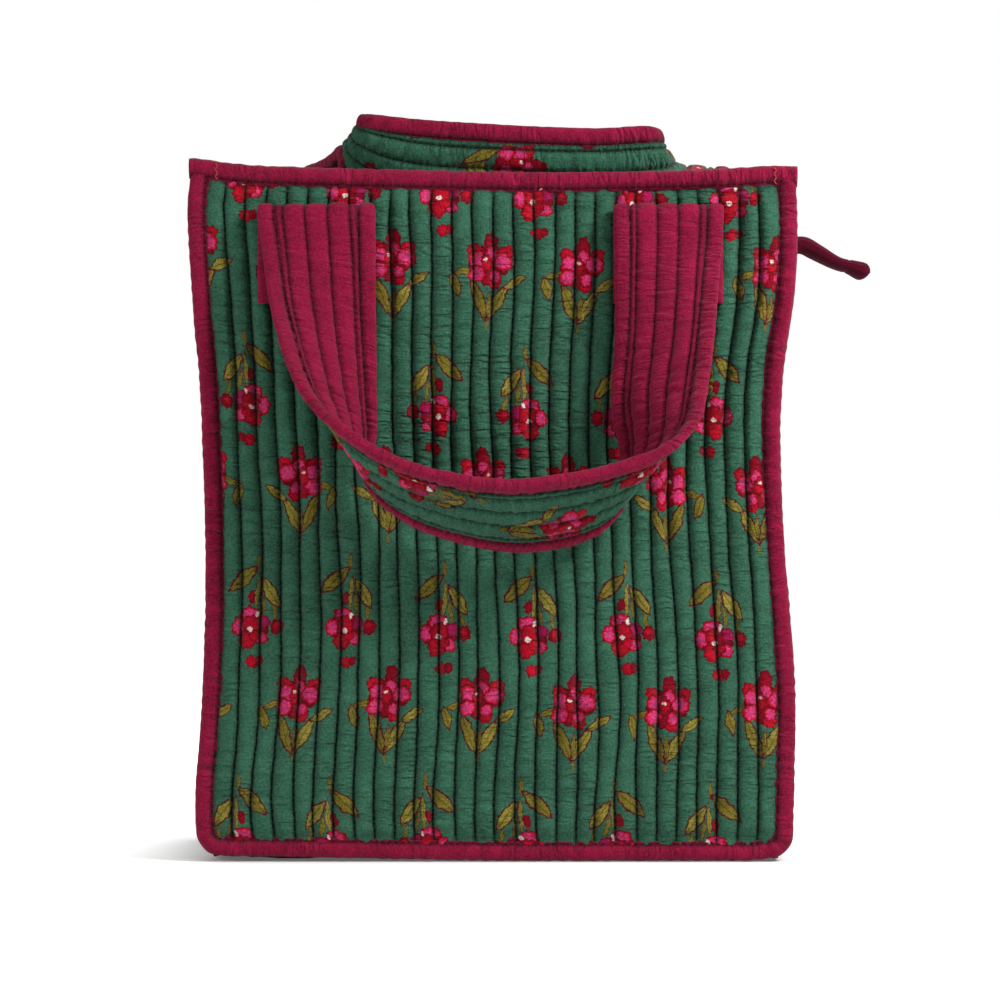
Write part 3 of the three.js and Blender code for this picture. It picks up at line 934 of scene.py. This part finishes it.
def gusset(side, name):
    low, high = 2.4, GUSSET_TOP - 6.0
    seed = 101 if side < 0 else 131
    sag = Ripple((90, 110), seed + 7)

    def place(across, along):
        z = between(low, high, along)
        lanes = across * SIDE_CHANNELS
        y = between(-SIDE_DEPTH, SIDE_DEPTH, across) + quilt_wander(lanes, z, seed)
        y = np.clip(y, -SIDE_DEPTH, SIDE_DEPTH)
        height = quilt_height(lanes, z, QUILT_DEPTH, seed)
        height = flattened(height, across, SIDE_CHANNELS, smooth_step((GUSSET_TOP - BINDING + 0.5 - z) / 6.5))
        middle = np.sin(math.pi * across) ** 1.3 * np.sin(math.pi * np.clip(along, 0, 1)) ** 0.8
        belly = middle * (-2.4 * smooth_step((z - 60) / 70) + 0.6 + 0.9 * sag(y, z))
        return at(side * (half_width(z) - GUSSET_FROM_EDGE - QUILT_LOW + height + belly), y, z)

    piece = quilted_grid(name, SIDE_CHANNELS, 10, 220, place, high - low)
    if side < 0:
        turn_over(piece)
    back_sheet(piece, GUSSET_THICK)
    finish_piece(piece, "bag", PRINTED, "printed_cotton", side_word(side) + "_gusset", side_word(side) + "_foam")


def gusset_binding(side, name):
    y = np.linspace(-SIDE_DEPTH, SIDE_DEPTH, 76)
    z = GUSSET_TOP - BINDING / 2 + 0.6 * np.cos(y / SIDE_DEPTH * math.pi / 2) - 0.4
    path = at(side * (half_width(GUSSET_TOP - 3) - GUSSET_BINDING_IN), y, z)
    piece = bound_edge(name, path, repeated([0, 0, -1], len(y)), repeated([side, 0, 0], len(y)), BINDING / 2, 4.5,
                       90 if side < 0 else 95)
    finish_piece(piece, "bag", BOUND, "binding_cotton", side_word(side) + "_gusset_binding")


def base_cloth(name):
    def place(across, along):
        x = between(-BASE_REACH, BASE_REACH, along)
        height = quilt_height(across * SIDE_CHANNELS, x, 1.9, 161)
        return at(x, between(-SIDE_DEPTH, SIDE_DEPTH, across), 2.2 - np.minimum(height, 2.1))

    piece = quilted_grid(name, SIDE_CHANNELS, 8, 150, place, 2 * BASE_REACH)
    back_sheet(piece, 3.8)
    finish_piece(piece, "bag", PRINTED, "printed_cotton", "base_panel", "base_foam")


# Linings
LINING_THICK = 1.2
LINING_TUCK = 1.0
WRINKLE = 0.7
# From the bag's edge to the ends of the wide linings, and to the faces of the side ones
LINING_END, LINING_FACE = 7.6, 13.6


def lining_sheet(name, node, normal_axis, seed):
    """The lining of one side, gently wrinkled, its edges tucked in behind its neighbours."""
    low, high = node_box(node)
    across_axis = 1 - normal_axis
    inner = low if abs(low[normal_axis]) < abs(high[normal_axis]) else high
    away = -np.sign(inner[normal_axis])
    ripple = Ripple((30, 60), seed)
    fine = Ripple((12, 22), seed + 1)
    top = high[2] + (1.6 if normal_axis == 1 else 0)

    def place(across, along):
        z = between(low[2], top, along)
        if normal_axis == 1:
            flat = [(2 * across - 1) * (half_width(z) - LINING_END), inner[1]]
        else:
            flat = [np.sign(inner[0]) * (half_width(z) - LINING_FACE), between(low[1], high[1], across)]
        edge = from_rim(across, along, 14)
        lift = WRINKLE * (ripple(flat[across_axis], z) + 0.4 * fine(flat[across_axis], z) - 0.2)
        flat[normal_axis] = flat[normal_axis] + away * (lift * edge - LINING_TUCK * (1 - edge))
        return at(*flat, z)

    width = high[across_axis] - low[across_axis]
    piece = cloth_grid(name, 50, 60, place, width, high[2] - low[2])
    facing = sum(polygon.normal[normal_axis] * polygon.area for polygon in piece.data.polygons)
    if facing * inner[normal_axis] > 0:
        turn_over(piece)
    back_sheet(piece, LINING_THICK)
    finish_piece(piece, "bag", INSULATED, "insulated_lining", node)


def base_lining(name):
    low, high = node_box("base_lining")
    size = (high - low)[:2]
    ripple = Ripple((50, 50), 181)

    def place(across, along):
        x, y = low[0] + size[0] * across, low[1] + size[1] * along
        return at(x, y, high[2] + WRINKLE * ripple(x, y) * from_rim(across, along, 10))

    piece = cloth_grid(name, 60, 34, place, *size)
    back_sheet(piece, LINING_THICK)
    finish_piece(piece, "bag", INSULATED, "insulated_lining", "base_lining")


# Straps
FOLD_Y = 70.6
FOLD_Z = 258.0
FOLD_RADIUS = 3.0
STRAP_OFF_WALL = 8.6
SEWN_LOW = 223.0
BACK_SEWN_Y = WALL_FACE + 2.9
BACK_SEWN_TOP = 277.0
BACK_BEND_RADIUS = 7
STRAP_ROWS = 640

FRONT_OUTER = [(-94, 250), (-92.5, 240), (-89.5, 222), (-82.4, 200), (-73.6, 184), (-60.4, 172.8), (-45, 163),
               (-24, 155.5), (2, 151.6), (28.4, 154), (50.8, 159), (67, 165), (78.4, 175), (83.2, 190.8),
               (86.4, 212), (89, 236), (90.5, 250)]
FRONT_INNER = [(-47.8, 249), (-47.8, 235), (-47.8, 212), (-48, 188), (-48.5, 168), (-50.5, 153), (-43, 142),
               (-26.8, 132), (2, 124.8), (25.6, 126), (42, 132.8), (50, 146), (50, 163), (46, 182), (47.4, 208),
               (47.2, 234), (47, 249)]
BACK_INNER = [(-39, 58, 284.5), (-38, 40, 287), (-37, 14, 290.5), (-41, -13, 294.6), (-50, -34, 299.8),
              (-52, -45, 300.6), (-31, -49.5, 298.0), (7, -52, 295.4), (40, -50, 294.4), (62, -44.5, 295.8),
              (64, -30, 293.6), (57, 0, 289), (53, 40, 286), (53, 58, 284.5)]
BACK_OUTER = [(-86, 58, 282.6), (-83.5, 40, 282.8), (-77.5, 21, 283.4), (-71, 3, 284.6), (-65, -16, 285.5),
              (-60, -30, 272), (-41, -37, 256), (7, -38, 251), (45, -36.5, 252), (71, -29, 255.5),
              (84, -11, 264), (94, 14, 275), (99, 40, 283), (100, 58, 284.2)]


class Strap:
    """The middle surface of one strap, from sewn end to sewn end: its two edges, row by row."""

    def __init__(self, outer, inner, tight, blend, cover_side=1):
        both = np.hstack([outer, inner, tight[:, None]])
        reach = reach_along((both[:, :3] + both[:, 3:6]) / 2)
        self.length = reach[-1]
        self.reach = np.linspace(0, self.length, STRAP_ROWS)
        both = resample(both, reach, self.reach)
        self.outer, self.inner, self.tight = both[:, :3], both[:, 3:6], both[:, 6]
        self.across = unit(self.outer - self.inner)
        self.width = np.linalg.norm(self.outer - self.inner, axis=1)
        along = unit(np.gradient((self.outer + self.inner) / 2, axis=0))
        self.out = unit(np.cross(along, self.across)) * cover_side
        self.handed = -cover_side
        for _ in range(3):
            self.out[1:-1] = unit(self.out[:-2] + 2 * self.out[1:-1] + self.out[2:])
        self.blend = blend


def foot(middle_y, radius, heights, top, angles):
    """Depths and heights of a strap's end: up its sewn length, then round its bend."""
    depth = np.concatenate([np.full(len(heights), middle_y + radius), middle_y + radius * np.cos(angles)])
    return depth, np.concatenate([heights, top + radius * np.sin(angles)])


def with_feet(edge, places, depth, height):
    """One edge of a strap with a sewn foot at each end, at the two places across the wall."""
    first, last = (at(x, depth, height) for x in places)
    return np.vstack([first, edge, last[::-1]])


def front_strap():
    """Hangs outwards from its folds, its cover turned down and out along the bottom."""
    count, sewn, bent = 240, 29, 25
    outer_flat, inner_flat = through(FRONT_OUTER, count), through(FRONT_INNER, count)
    gap = np.linalg.norm(outer_flat - inner_flat, axis=1)
    lift = np.sqrt(np.maximum(STRAP_WIDTH**2 - gap**2, 0))
    t = np.linspace(0, 1, count)
    near_y = -(WALL_FACE + STRAP_OFF_WALL)
    outer = upright(outer_flat, near_y)
    outer[:, 1] -= lift * smooth_step(np.minimum(t, 1 - t) / 0.22)
    depth, height = foot(-FOLD_Y, FOLD_RADIUS, np.linspace(SEWN_LOW, FOLD_Z, sewn + 1)[:-1], FOLD_Z,
                         np.linspace(0, math.pi, bent))
    outer = with_feet(outer, (-95.2, 90.8), depth, height)
    inner = with_feet(upright(inner_flat, near_y), (-48.2, 46.8), depth, height)
    loose = slice(sewn + bent - 1, 1 - sewn - bent)
    for edge in (outer, inner):
        edge[loose] = soften(edge[loose], 8)
    tight = np.ones(len(outer))
    tight[sewn:sewn + bent] = tight[-sewn - bent:-sewn] = 0.72
    tight[:sewn] = tight[-sewn:] = 0.8
    return Strap(outer, inner, soften(tight, 6), ("bag", "front_handle", (0, -0.0701, 0.26), (0, -0.0710, 0.26)))


def back_strap():
    """Comes up the back wall and falls forward through the mouth."""
    sewn = 40
    depth, height = foot(BACK_SEWN_Y - BACK_BEND_RADIUS, BACK_BEND_RADIUS, np.linspace(SEWN_LOW, BACK_SEWN_TOP, sewn),
                         BACK_SEWN_TOP, np.linspace(0, math.pi / 2, 16)[1:])
    outer = soften(with_feet(through(BACK_OUTER, 300), (-86.0, 100.0), depth, height), 10)
    inner = soften(with_feet(through(BACK_INNER, 300), (-39.0, 53.0), depth, height), 10)
    tight = np.full(len(outer), 0.95)
    tight[:sewn] = tight[-sewn:] = 0.8
    blend = ("bag", "back_handle", (0, 0.068, 0.277), (0, 0.062, 0.283))
    return Strap(outer, inner, soften(tight, 8), blend, cover_side=-1)


# Across a strap's face: the width of each lane and the grid columns in it
LANES = np.array([2.6, 9.0, 9.2, 9.0, 2.6])
LANE_STEPS = np.array([4, 10, 10, 10, 4])
LANE_STARTS = np.concatenate([[0], np.cumsum(LANES)])
LANE_COLUMNS = np.concatenate([[0], np.cumsum(LANE_STEPS)])


def lanes_at(across):
    """Which lane a point lies in, and how far across it."""
    column = across * LANE_COLUMNS[-1]
    lane = np.clip(np.searchsorted(LANE_COLUMNS, column + 1e-4, side="right") - 1, 0, len(LANES) - 1)
    return lane, np.clip((column - LANE_COLUMNS[lane]) / LANE_STEPS[lane], 0, 1)


def strap_face(strap, name, side, material, slot, depth, seed):
    """One face of a strap, quilted along it. Side is 1 for the cover and -1 for the lining."""
    from_foot = np.minimum(strap.reach, strap.length - strap.reach)
    pressed = 0.35 + 0.65 * smooth_step((from_foot - 50) / 16) if side > 0 else np.ones(STRAP_ROWS)

    def stitches(across, along):
        lane, fraction = lanes_at(across)
        return np.minimum(fraction, 1 - fraction) * LANES[lane]

    def place(across, along):
        row = np.rint(along * (STRAP_ROWS - 1)).astype(int)
        s = strap.reach[row]
        lane, fraction = lanes_at(across)
        offset = (STRAP_WIDTH - LANE_STARTS[-1]) / 2 + LANE_STARTS[lane] + fraction * LANES[lane]
        offset = offset + quilt_wander(lane + fraction, s, seed, 0.3) * from_ends(across, 12)
        offset = offset * strap.width[row] / STRAP_WIDTH
        wide = LANES[lane] > 5
        lanes = lane + np.clip(fraction, 0, 0.9999)
        height = np.where(wide, depth, depth * 0.5) * quilt_height(lanes, s, 1.0, seed, 0.0)
        height = height + 1.5 * quilt_height(lanes, s, 0.0, seed) * np.where(wide, 1, 0.4)
        height = (1.2 + height * pressed[row] * 0.66) * strap.tight[row] * (0.55 + 0.45 * from_ends(along, 60))
        return strap.inner[row] + strap.across[row] * offset[:, None] + strap.out[row] * (side * height)[:, None]

    piece = cloth_grid(name, LANE_COLUMNS[-1], STRAP_ROWS - 1, place, LANE_STARTS[-1], strap.length, stitches)
    if side * strap.handed < 0:
        turn_over(piece)
    back_sheet(piece, 1.0)
    return finish_piece(piece, None, material, slot)


def strap_binding(strap, name, edge, inward, seed):
    half = BINDING / 2
    piece = bound_edge(name, edge + inward * half, inward, strap.out, half, 2.6, seed, around=24, pucker=0.2,
                       inner_thin=0.82, thick_at=strap.tight)
    return finish_piece(piece, None, BOUND, "binding_cotton")


def handle(strap, word, seed):
    name = word + "_handle_"
    cover = strap_face(strap, name + "cloth", 1, PRINTED_STRAP, "printed_cotton", 2.3, seed)
    under = strap_face(strap, name + "underside", -1, MAROON_STRAP, "binding_cotton", 2.1, seed + 20)
    outer = strap_binding(strap, name + "outer_edge", strap.outer, -strap.across, seed + 40)
    inner = strap_binding(strap, name + "inner_edge", strap.inner, strap.across, seed + 60)
    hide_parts(name + "cover", name + "left_end", name + "right_end")
    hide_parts(name + "lining")
    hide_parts(name + "outer_binding")
    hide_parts(name + "inner_binding")
    for piece in (cover, under, outer, inner):
        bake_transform(piece)


# Zip
COIL_HALF = 3.6
COIL_LEVEL = 246.0
ZIP_LEVEL = 246.45
TAIL_START = 108.5


def wall_word(side):
    return "front" if side < 0 else "back"


def zip_flap(side, name):
    """The quilted half of the top panel on one side of the zip."""
    word = wall_word(side)
    low, high = node_box(word + "_zip_flap")
    near, far = sorted(np.abs([low[1], high[1]]))

    def place(across, along):
        x = between(low[0], high[0], along)
        height = quilt_height(across * FLAP_CHANNELS, x, 1.5, 211 if side < 0 else 221)
        z = high[2] - 0.9 + 0.62 * height * from_ends(across, FLAP_CHANNELS * 1.6)
        return at(x, side * between(near, far, across), z)

    piece = level_sheet(name, FLAP_CHANNELS * 8, 160, place, (far - near, high[0] - low[0]), 1.8,
                        stitch_distance(FLAP_CHANNELS, 8.4))
    finish_piece(piece, word + "_flap", PRINTED_FLAP, "printed_cotton", word + "_zip_flap")


def zip_cloth(name, node, body, columns, rows_each, level):
    """A flat length of zip tape: level gives its height at each x and distance from the coil."""
    low, high = node_box(node)
    width, length = high[1] - low[1], high[0] - low[0]

    def place(across, along):
        x, y = between(low[0], high[0], along), between(low[1], high[1], across)
        return at(x, y, level(x, np.abs(y), high[2]))

    piece = level_sheet(name, columns, rows_each(length), place, (width, length), 1.1)
    finish_piece(piece, body, WOVEN_TAPE, "zip_tape", node)


def zip_tape(side, name):
    def level(x, from_coil, top):
        return top + 0.25 * bump_at(from_coil, COIL_HALF, 0.8)

    word = wall_word(side)
    zip_cloth(name, word + "_zip_tape", word + "_flap", 18, lambda length: 120, level)


def zip_run(name, node):
    """A closed length of zip beyond the working part: tape with its meshed coil."""
    def level(x, from_coil, top):
        ridge = 0.85 * bump_at(from_coil, 0, 2.4, 4) * (1 + 0.16 * np.sin(FULL_TURN * x / COIL_STEP))
        return ZIP_LEVEL + ridge + 0.2 * bump_at(from_coil, COIL_HALF, 0.8) + 0.9 * smooth_step((x - TAIL_START) / 9)

    zip_cloth(name, node, "bag", 60, lambda length: int(length * 5), level)


def zip_teeth(side, name):
    """One coil: a tooth modelled once and set in a row, half a step from those that it meets."""
    word = wall_word(side)
    low, high = node_box(word + "_zip_coil")
    start = low[0] + 0.4 + (0 if side < 0 else COIL_STEP / 2)
    bpy.ops.mesh.primitive_cylinder_add(vertices=8, radius=0.36 * MM, depth=2.2 * MM)
    tooth = named(bpy.context.object, name)
    x, z, y = vertex_points(tooth).T / MM
    swell = 1 + 0.35 * (y * side < 0)
    set_points(tooth, at(x * swell + start, y + side * 1.4, z * 1.872 * swell + COIL_LEVEL) * MM)
    add_modifier(tooth, "BEVEL", width=0.12 * MM, segments=1)
    add_modifier(tooth, "ARRAY", count=int((high[0] - start - 0.6) / COIL_STEP), use_relative_offset=False,
                 use_constant_offset=True, constant_offset_displace=(COIL_STEP * MM, 0, 0))
    edit(tooth)
    all_outwards()
    finish_piece(smooth_faces(tooth), word + "_flap", COIL, "zip_tape", word + "_zip_coil")


TAB_PATH = [(117.9, 247.3), (121, 248.6), (124.2, 249.9), (127.8, 249.8), (133, 247.0), (140.9, 242.7),
            (146.8, 241.0), (150.8, 239.5), (154.3, 238.2)]
TAB_HALF_THICK = [(0, 1.6), (0.07, 2.9), (0.16, 3.3), (0.4, 3.0), (0.66, 2.3), (0.78, 2.5), (0.9, 3.3),
                  (0.97, 3.3), (1.0, 3.2)]
TAB_HALF_WIDE = 13.4
TAB_NOSE = 3.2
TAB_RIB = 1.9


def zip_tab(name):
    """The ribbed cloth that caps the zip's free end: drooping, folded over at its tip into a rounded knob."""
    rows, around = 90, 96
    line = along_length(through(TAB_PATH, 200), rows + 1)
    thick = read_curve(TAB_HALF_THICK)
    tangent = unit(np.gradient(line, axis=0))
    upward = at(-tangent[:, 1], tangent[:, 0])
    length = reach_along(line)[-1]

    def place(across, along):
        row = np.rint(along * rows).astype(int)
        u, v = rounded(FULL_TURN * across, 3.0)
        s = along * length
        nose = np.clip((s - (length - TAB_NOSE)) / TAB_NOSE, 0, 1)
        blunt = np.sqrt(np.maximum(1 - nose**2, 0.0))
        half = thick(along) * blunt - 0.35 * bump_at(s, 0.76 * length, 0.5)
        rib = 0.2 * np.cos(u * TAB_HALF_WIDE * FULL_TURN / TAB_RIB)
        wide = TAB_HALF_WIDE * (1 - 0.12 * nose**2) * (0.93 + 0.07 * smooth_step(s / 8))
        high = v * half + np.sign(v) * rib * np.minimum(1, np.abs(v) * 2) * blunt
        x, z = (line[row] + upward[row] * high[:, None]).T
        return at(x, wide * u, z)

    piece = cloth_grid(name, around, rows, place, 62.0, length)
    close_tube(piece)
    finish_piece(piece, None, TAB_CLOTH, "zip_tape", "zip_end_tab")
    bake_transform(piece)


SLIDER_SIDE = 3.9
SLIDER_SIDE_HALF_THICK = 0.35


def slider(name):
    """A roof and two side walls over the coil, narrower at one end, with the loop that holds the pull."""
    low, high = node_box("zip_slider")
    middle = (low[0] + high[0]) / 2

    def block(start, end, bevel):
        start, end = np.array(start), np.array(end)
        bpy.ops.mesh.primitive_cube_add(size=1)
        piece = bpy.context.object
        set_points(piece, ((start + end) / 2 + vertex_points(piece) * (end - start)) * MM)
        edit(piece)
        bpy.ops.mesh.bevel(offset=bevel * MM, segments=3, affect="EDGES")
        leave_edit()
        points = vertex_points(piece) / MM
        t = (points[:, 0] - low[0]) / (high[0] - low[0])
        points[:, 1] *= 0.66 + 0.34 * smooth_step(1 - t)
        points[:, 2] += 0.35 * np.sin(math.pi * t) * (points[:, 2] > high[2] - 0.8)
        set_points(piece, points * MM)
        return piece

    roof = block((low[0], low[1], high[2] - 1.5), high, 0.5)
    walls = [block((low[0] + 0.6, y - SLIDER_SIDE_HALF_THICK, high[2] - 2.1),
                   (high[0] - 1.6, y + SLIDER_SIDE_HALF_THICK, high[2] - 1.0), 0.25)
             for y in (-SLIDER_SIDE, SLIDER_SIDE)]
    bpy.ops.mesh.primitive_torus_add(major_radius=1.9, minor_radius=0.42, major_segments=32, minor_segments=10)
    loop = bpy.context.object
    x, y, z = vertex_points(loop).T
    set_points(loop, at(1.5 * x + middle, -z, y + high[2] + 0.8) * MM)
    finish_piece(join([roof, loop] + walls, name), "slider", METAL, "zip_metal", "zip_slider")


PULL_BEND_START = 7
PULL_SLOPE = 0.27


def zip_puller(name):
    """A tapered pull, bent up a little past the slider, with an eye at one end and a slot near the tip."""
    low, high = node_box("zip_pull")
    length = high[0] - low[0]
    bpy.ops.mesh.primitive_grid_add(x_subdivisions=44, y_subdivisions=12, size=1)
    piece = named(bpy.context.object, name)
    points = vertex_points(piece)
    t, u = points[:, 0] + 0.5, points[:, 1] * 2
    outline = (high[1] - low[1]) / 2 * (0.62 + 0.38 * smooth_step((t - 0.05) / 0.55))
    for past_end, round_share in (((t - 0.86) / 0.14, 0.85), ((0.1 - t) / 0.1, 0.8)):
        outline = outline * np.sqrt(np.clip(1 - np.clip(past_end, 0, 1) ** 2 * round_share, 0.05, 1))
    x = low[0] + length * t
    z = (low[2] + high[2]) / 2 + 0.5 + PULL_SLOPE * np.maximum(x - low[0] - PULL_BEND_START, 0)
    set_points(piece, at(x, u * outline, z) * MM)
    edit(piece)
    bpy.ops.mesh.select_all(action="DESELECT")
    leave_edit()
    for polygon in piece.data.polygons:
        middle = np.array(polygon.center) / MM
        t = (middle[0] - low[0]) / length
        in_eye = ((t - 0.12) / 0.07) ** 2 + middle[1] ** 2 < 1
        in_slot = 0.55 < t < 0.86 and abs(middle[1]) < 0.95
        polygon.select = bool(in_eye or in_slot)
    bpy.context.view_layer.objects.active = piece
    bpy.ops.object.mode_set(mode="EDIT")
    bpy.ops.mesh.delete(type="FACE")
    leave_edit()
    back_sheet(piece, 1.0)
    add_modifier(piece, "BEVEL", width=0.22 * MM, segments=2, limit_method="ANGLE", angle_limit=math.radians(50))
    finish_piece(smooth_faces(piece), "pull", METAL, "zip_metal", "zip_pull")


# Floor, light and picture, in metres
FLOOR_SIZE = 60.0
FLOOR_DROP = 0.0004
CONTACT_REACH = 0.04
WORLD_LIGHT = 0.09


def stage_material(name):
    """White floor: the eye sees it glow, a little less round the bag and in its contact shadow."""
    material, nodes = new_material(name)
    away = nodes.vector("LENGTH", nodes.object_place(), output="Value")
    clear = nodes.fade(away, 0.25, 0.9, 0.78, 1.0, True)
    near = nodes.get("AmbientOcclusion", {"Distance": CONTACT_REACH}, "AO", samples=8)
    contact = nodes.fade(near, 0.4, 1.0, 0.15, 1.0)
    glow = nodes.get("Emission", {"Color": (1, 1, 1, 1), "Strength": nodes.direct_rays() * (clear * contact)})
    matte = nodes.get("BsdfDiffuse", {"Color": (0.86, 0.86, 0.86, 1)})
    nodes.end(nodes.add("AddShader", {0: matte, 1: glow}))
    return material


def build_stage():
    bpy.ops.mesh.primitive_plane_add(size=1)
    floor = named(bpy.context.object, "floor")
    set_points(floor, vertex_points(floor) * (FLOOR_SIZE, FLOOR_SIZE, 1) + (0, 0, -FLOOR_DROP))
    floor.data.materials.append(stage_material("white floor"))
    deselect()


def soft_light(name, place, aim, size, power):
    bpy.ops.object.light_add(type="AREA", location=place)
    lamp = bpy.context.object
    lamp.name = name
    lamp.data.shape = "DISK"
    lamp.data.size = size
    lamp.data.energy = power
    lamp.rotation_euler = (Vector(aim) - Vector(place)).to_track_quat("-Z", "Y").to_euler()
    deselect()


def build_lights():
    soft_light("key", (0.56, -0.46, 0.66), (0.02, -0.06, 0.16), 0.3, 7.0)
    soft_light("fill", (-0.60, -0.42, 0.26), (-0.02, -0.06, 0.13), 0.3, 1.5)
    soft_light("front", (0.1, -1.6, 0.9), (0, 0, 0.13), 0.8, 2.2)
    soft_light("back", (0.3, 0.9, 0.9), (0, 0, 0.15), 0.8, 6.0)
    world = bpy.data.worlds.new("white room")
    bpy.context.scene.world = world
    world.use_nodes = True
    world.node_tree.nodes.clear()
    nodes = Nodes(world.node_tree)
    strength = nodes.direct_rays() * (1 - WORLD_LIGHT) + WORLD_LIGHT
    nodes.end(nodes.add("Background", {"Color": (1, 1, 1, 1), "Strength": strength}), "World")
    bpy.context.scene.view_settings.view_transform = "Standard"


# The whole bag
place_camera()
walls = Wall(True), Wall(False)
for make, last_word in ((wall_piece, "_wall"), (seam_binding, "_side_binding"), (top_binding, "_mouth_binding"),
                        (corner_stitches, "_corner_stitches")):
    for wall in walls:
        make(wall, wall.word + last_word)
for make, last_word in ((gusset, "_side_wall"), (gusset_binding, "_side_mouth_binding")):
    for side in (-1, 1):
        make(side, side_word(side) + last_word)
base_cloth("bag_base")
for word, normal_axis, seed, resting_on in (("front", 1, 171, "front_wall"), ("back", 1, 173, "back_wall"),
                                            ("left", 0, 175, "left_side_wall"), ("right", 0, 177, "right_side_wall")):
    lining_sheet(word + "_inner_lining", word + "_lining", normal_axis, seed)
base_lining("bag_base_lining")
handle(front_strap(), "front", 301)
handle(back_strap(), "back", 401)
for side in (-1, 1):
    zip_flap(side, wall_word(side) + "_mouth_panel")
    zip_tape(side, wall_word(side) + "_zip_band")
    zip_teeth(side, wall_word(side) + "_zip_teeth")
zip_run("zip_start_band", "zip_start")
zip_run("zip_tail_band", "zip_tail")
zip_tab("zip_end_cap")
slider("zip_slider_body")
zip_puller("zip_slider_pull")
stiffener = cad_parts["base_stiffener"]
stiffener.data.materials.clear()
stiffener.data.materials.append(BOARD)

build_stage()
build_lights()
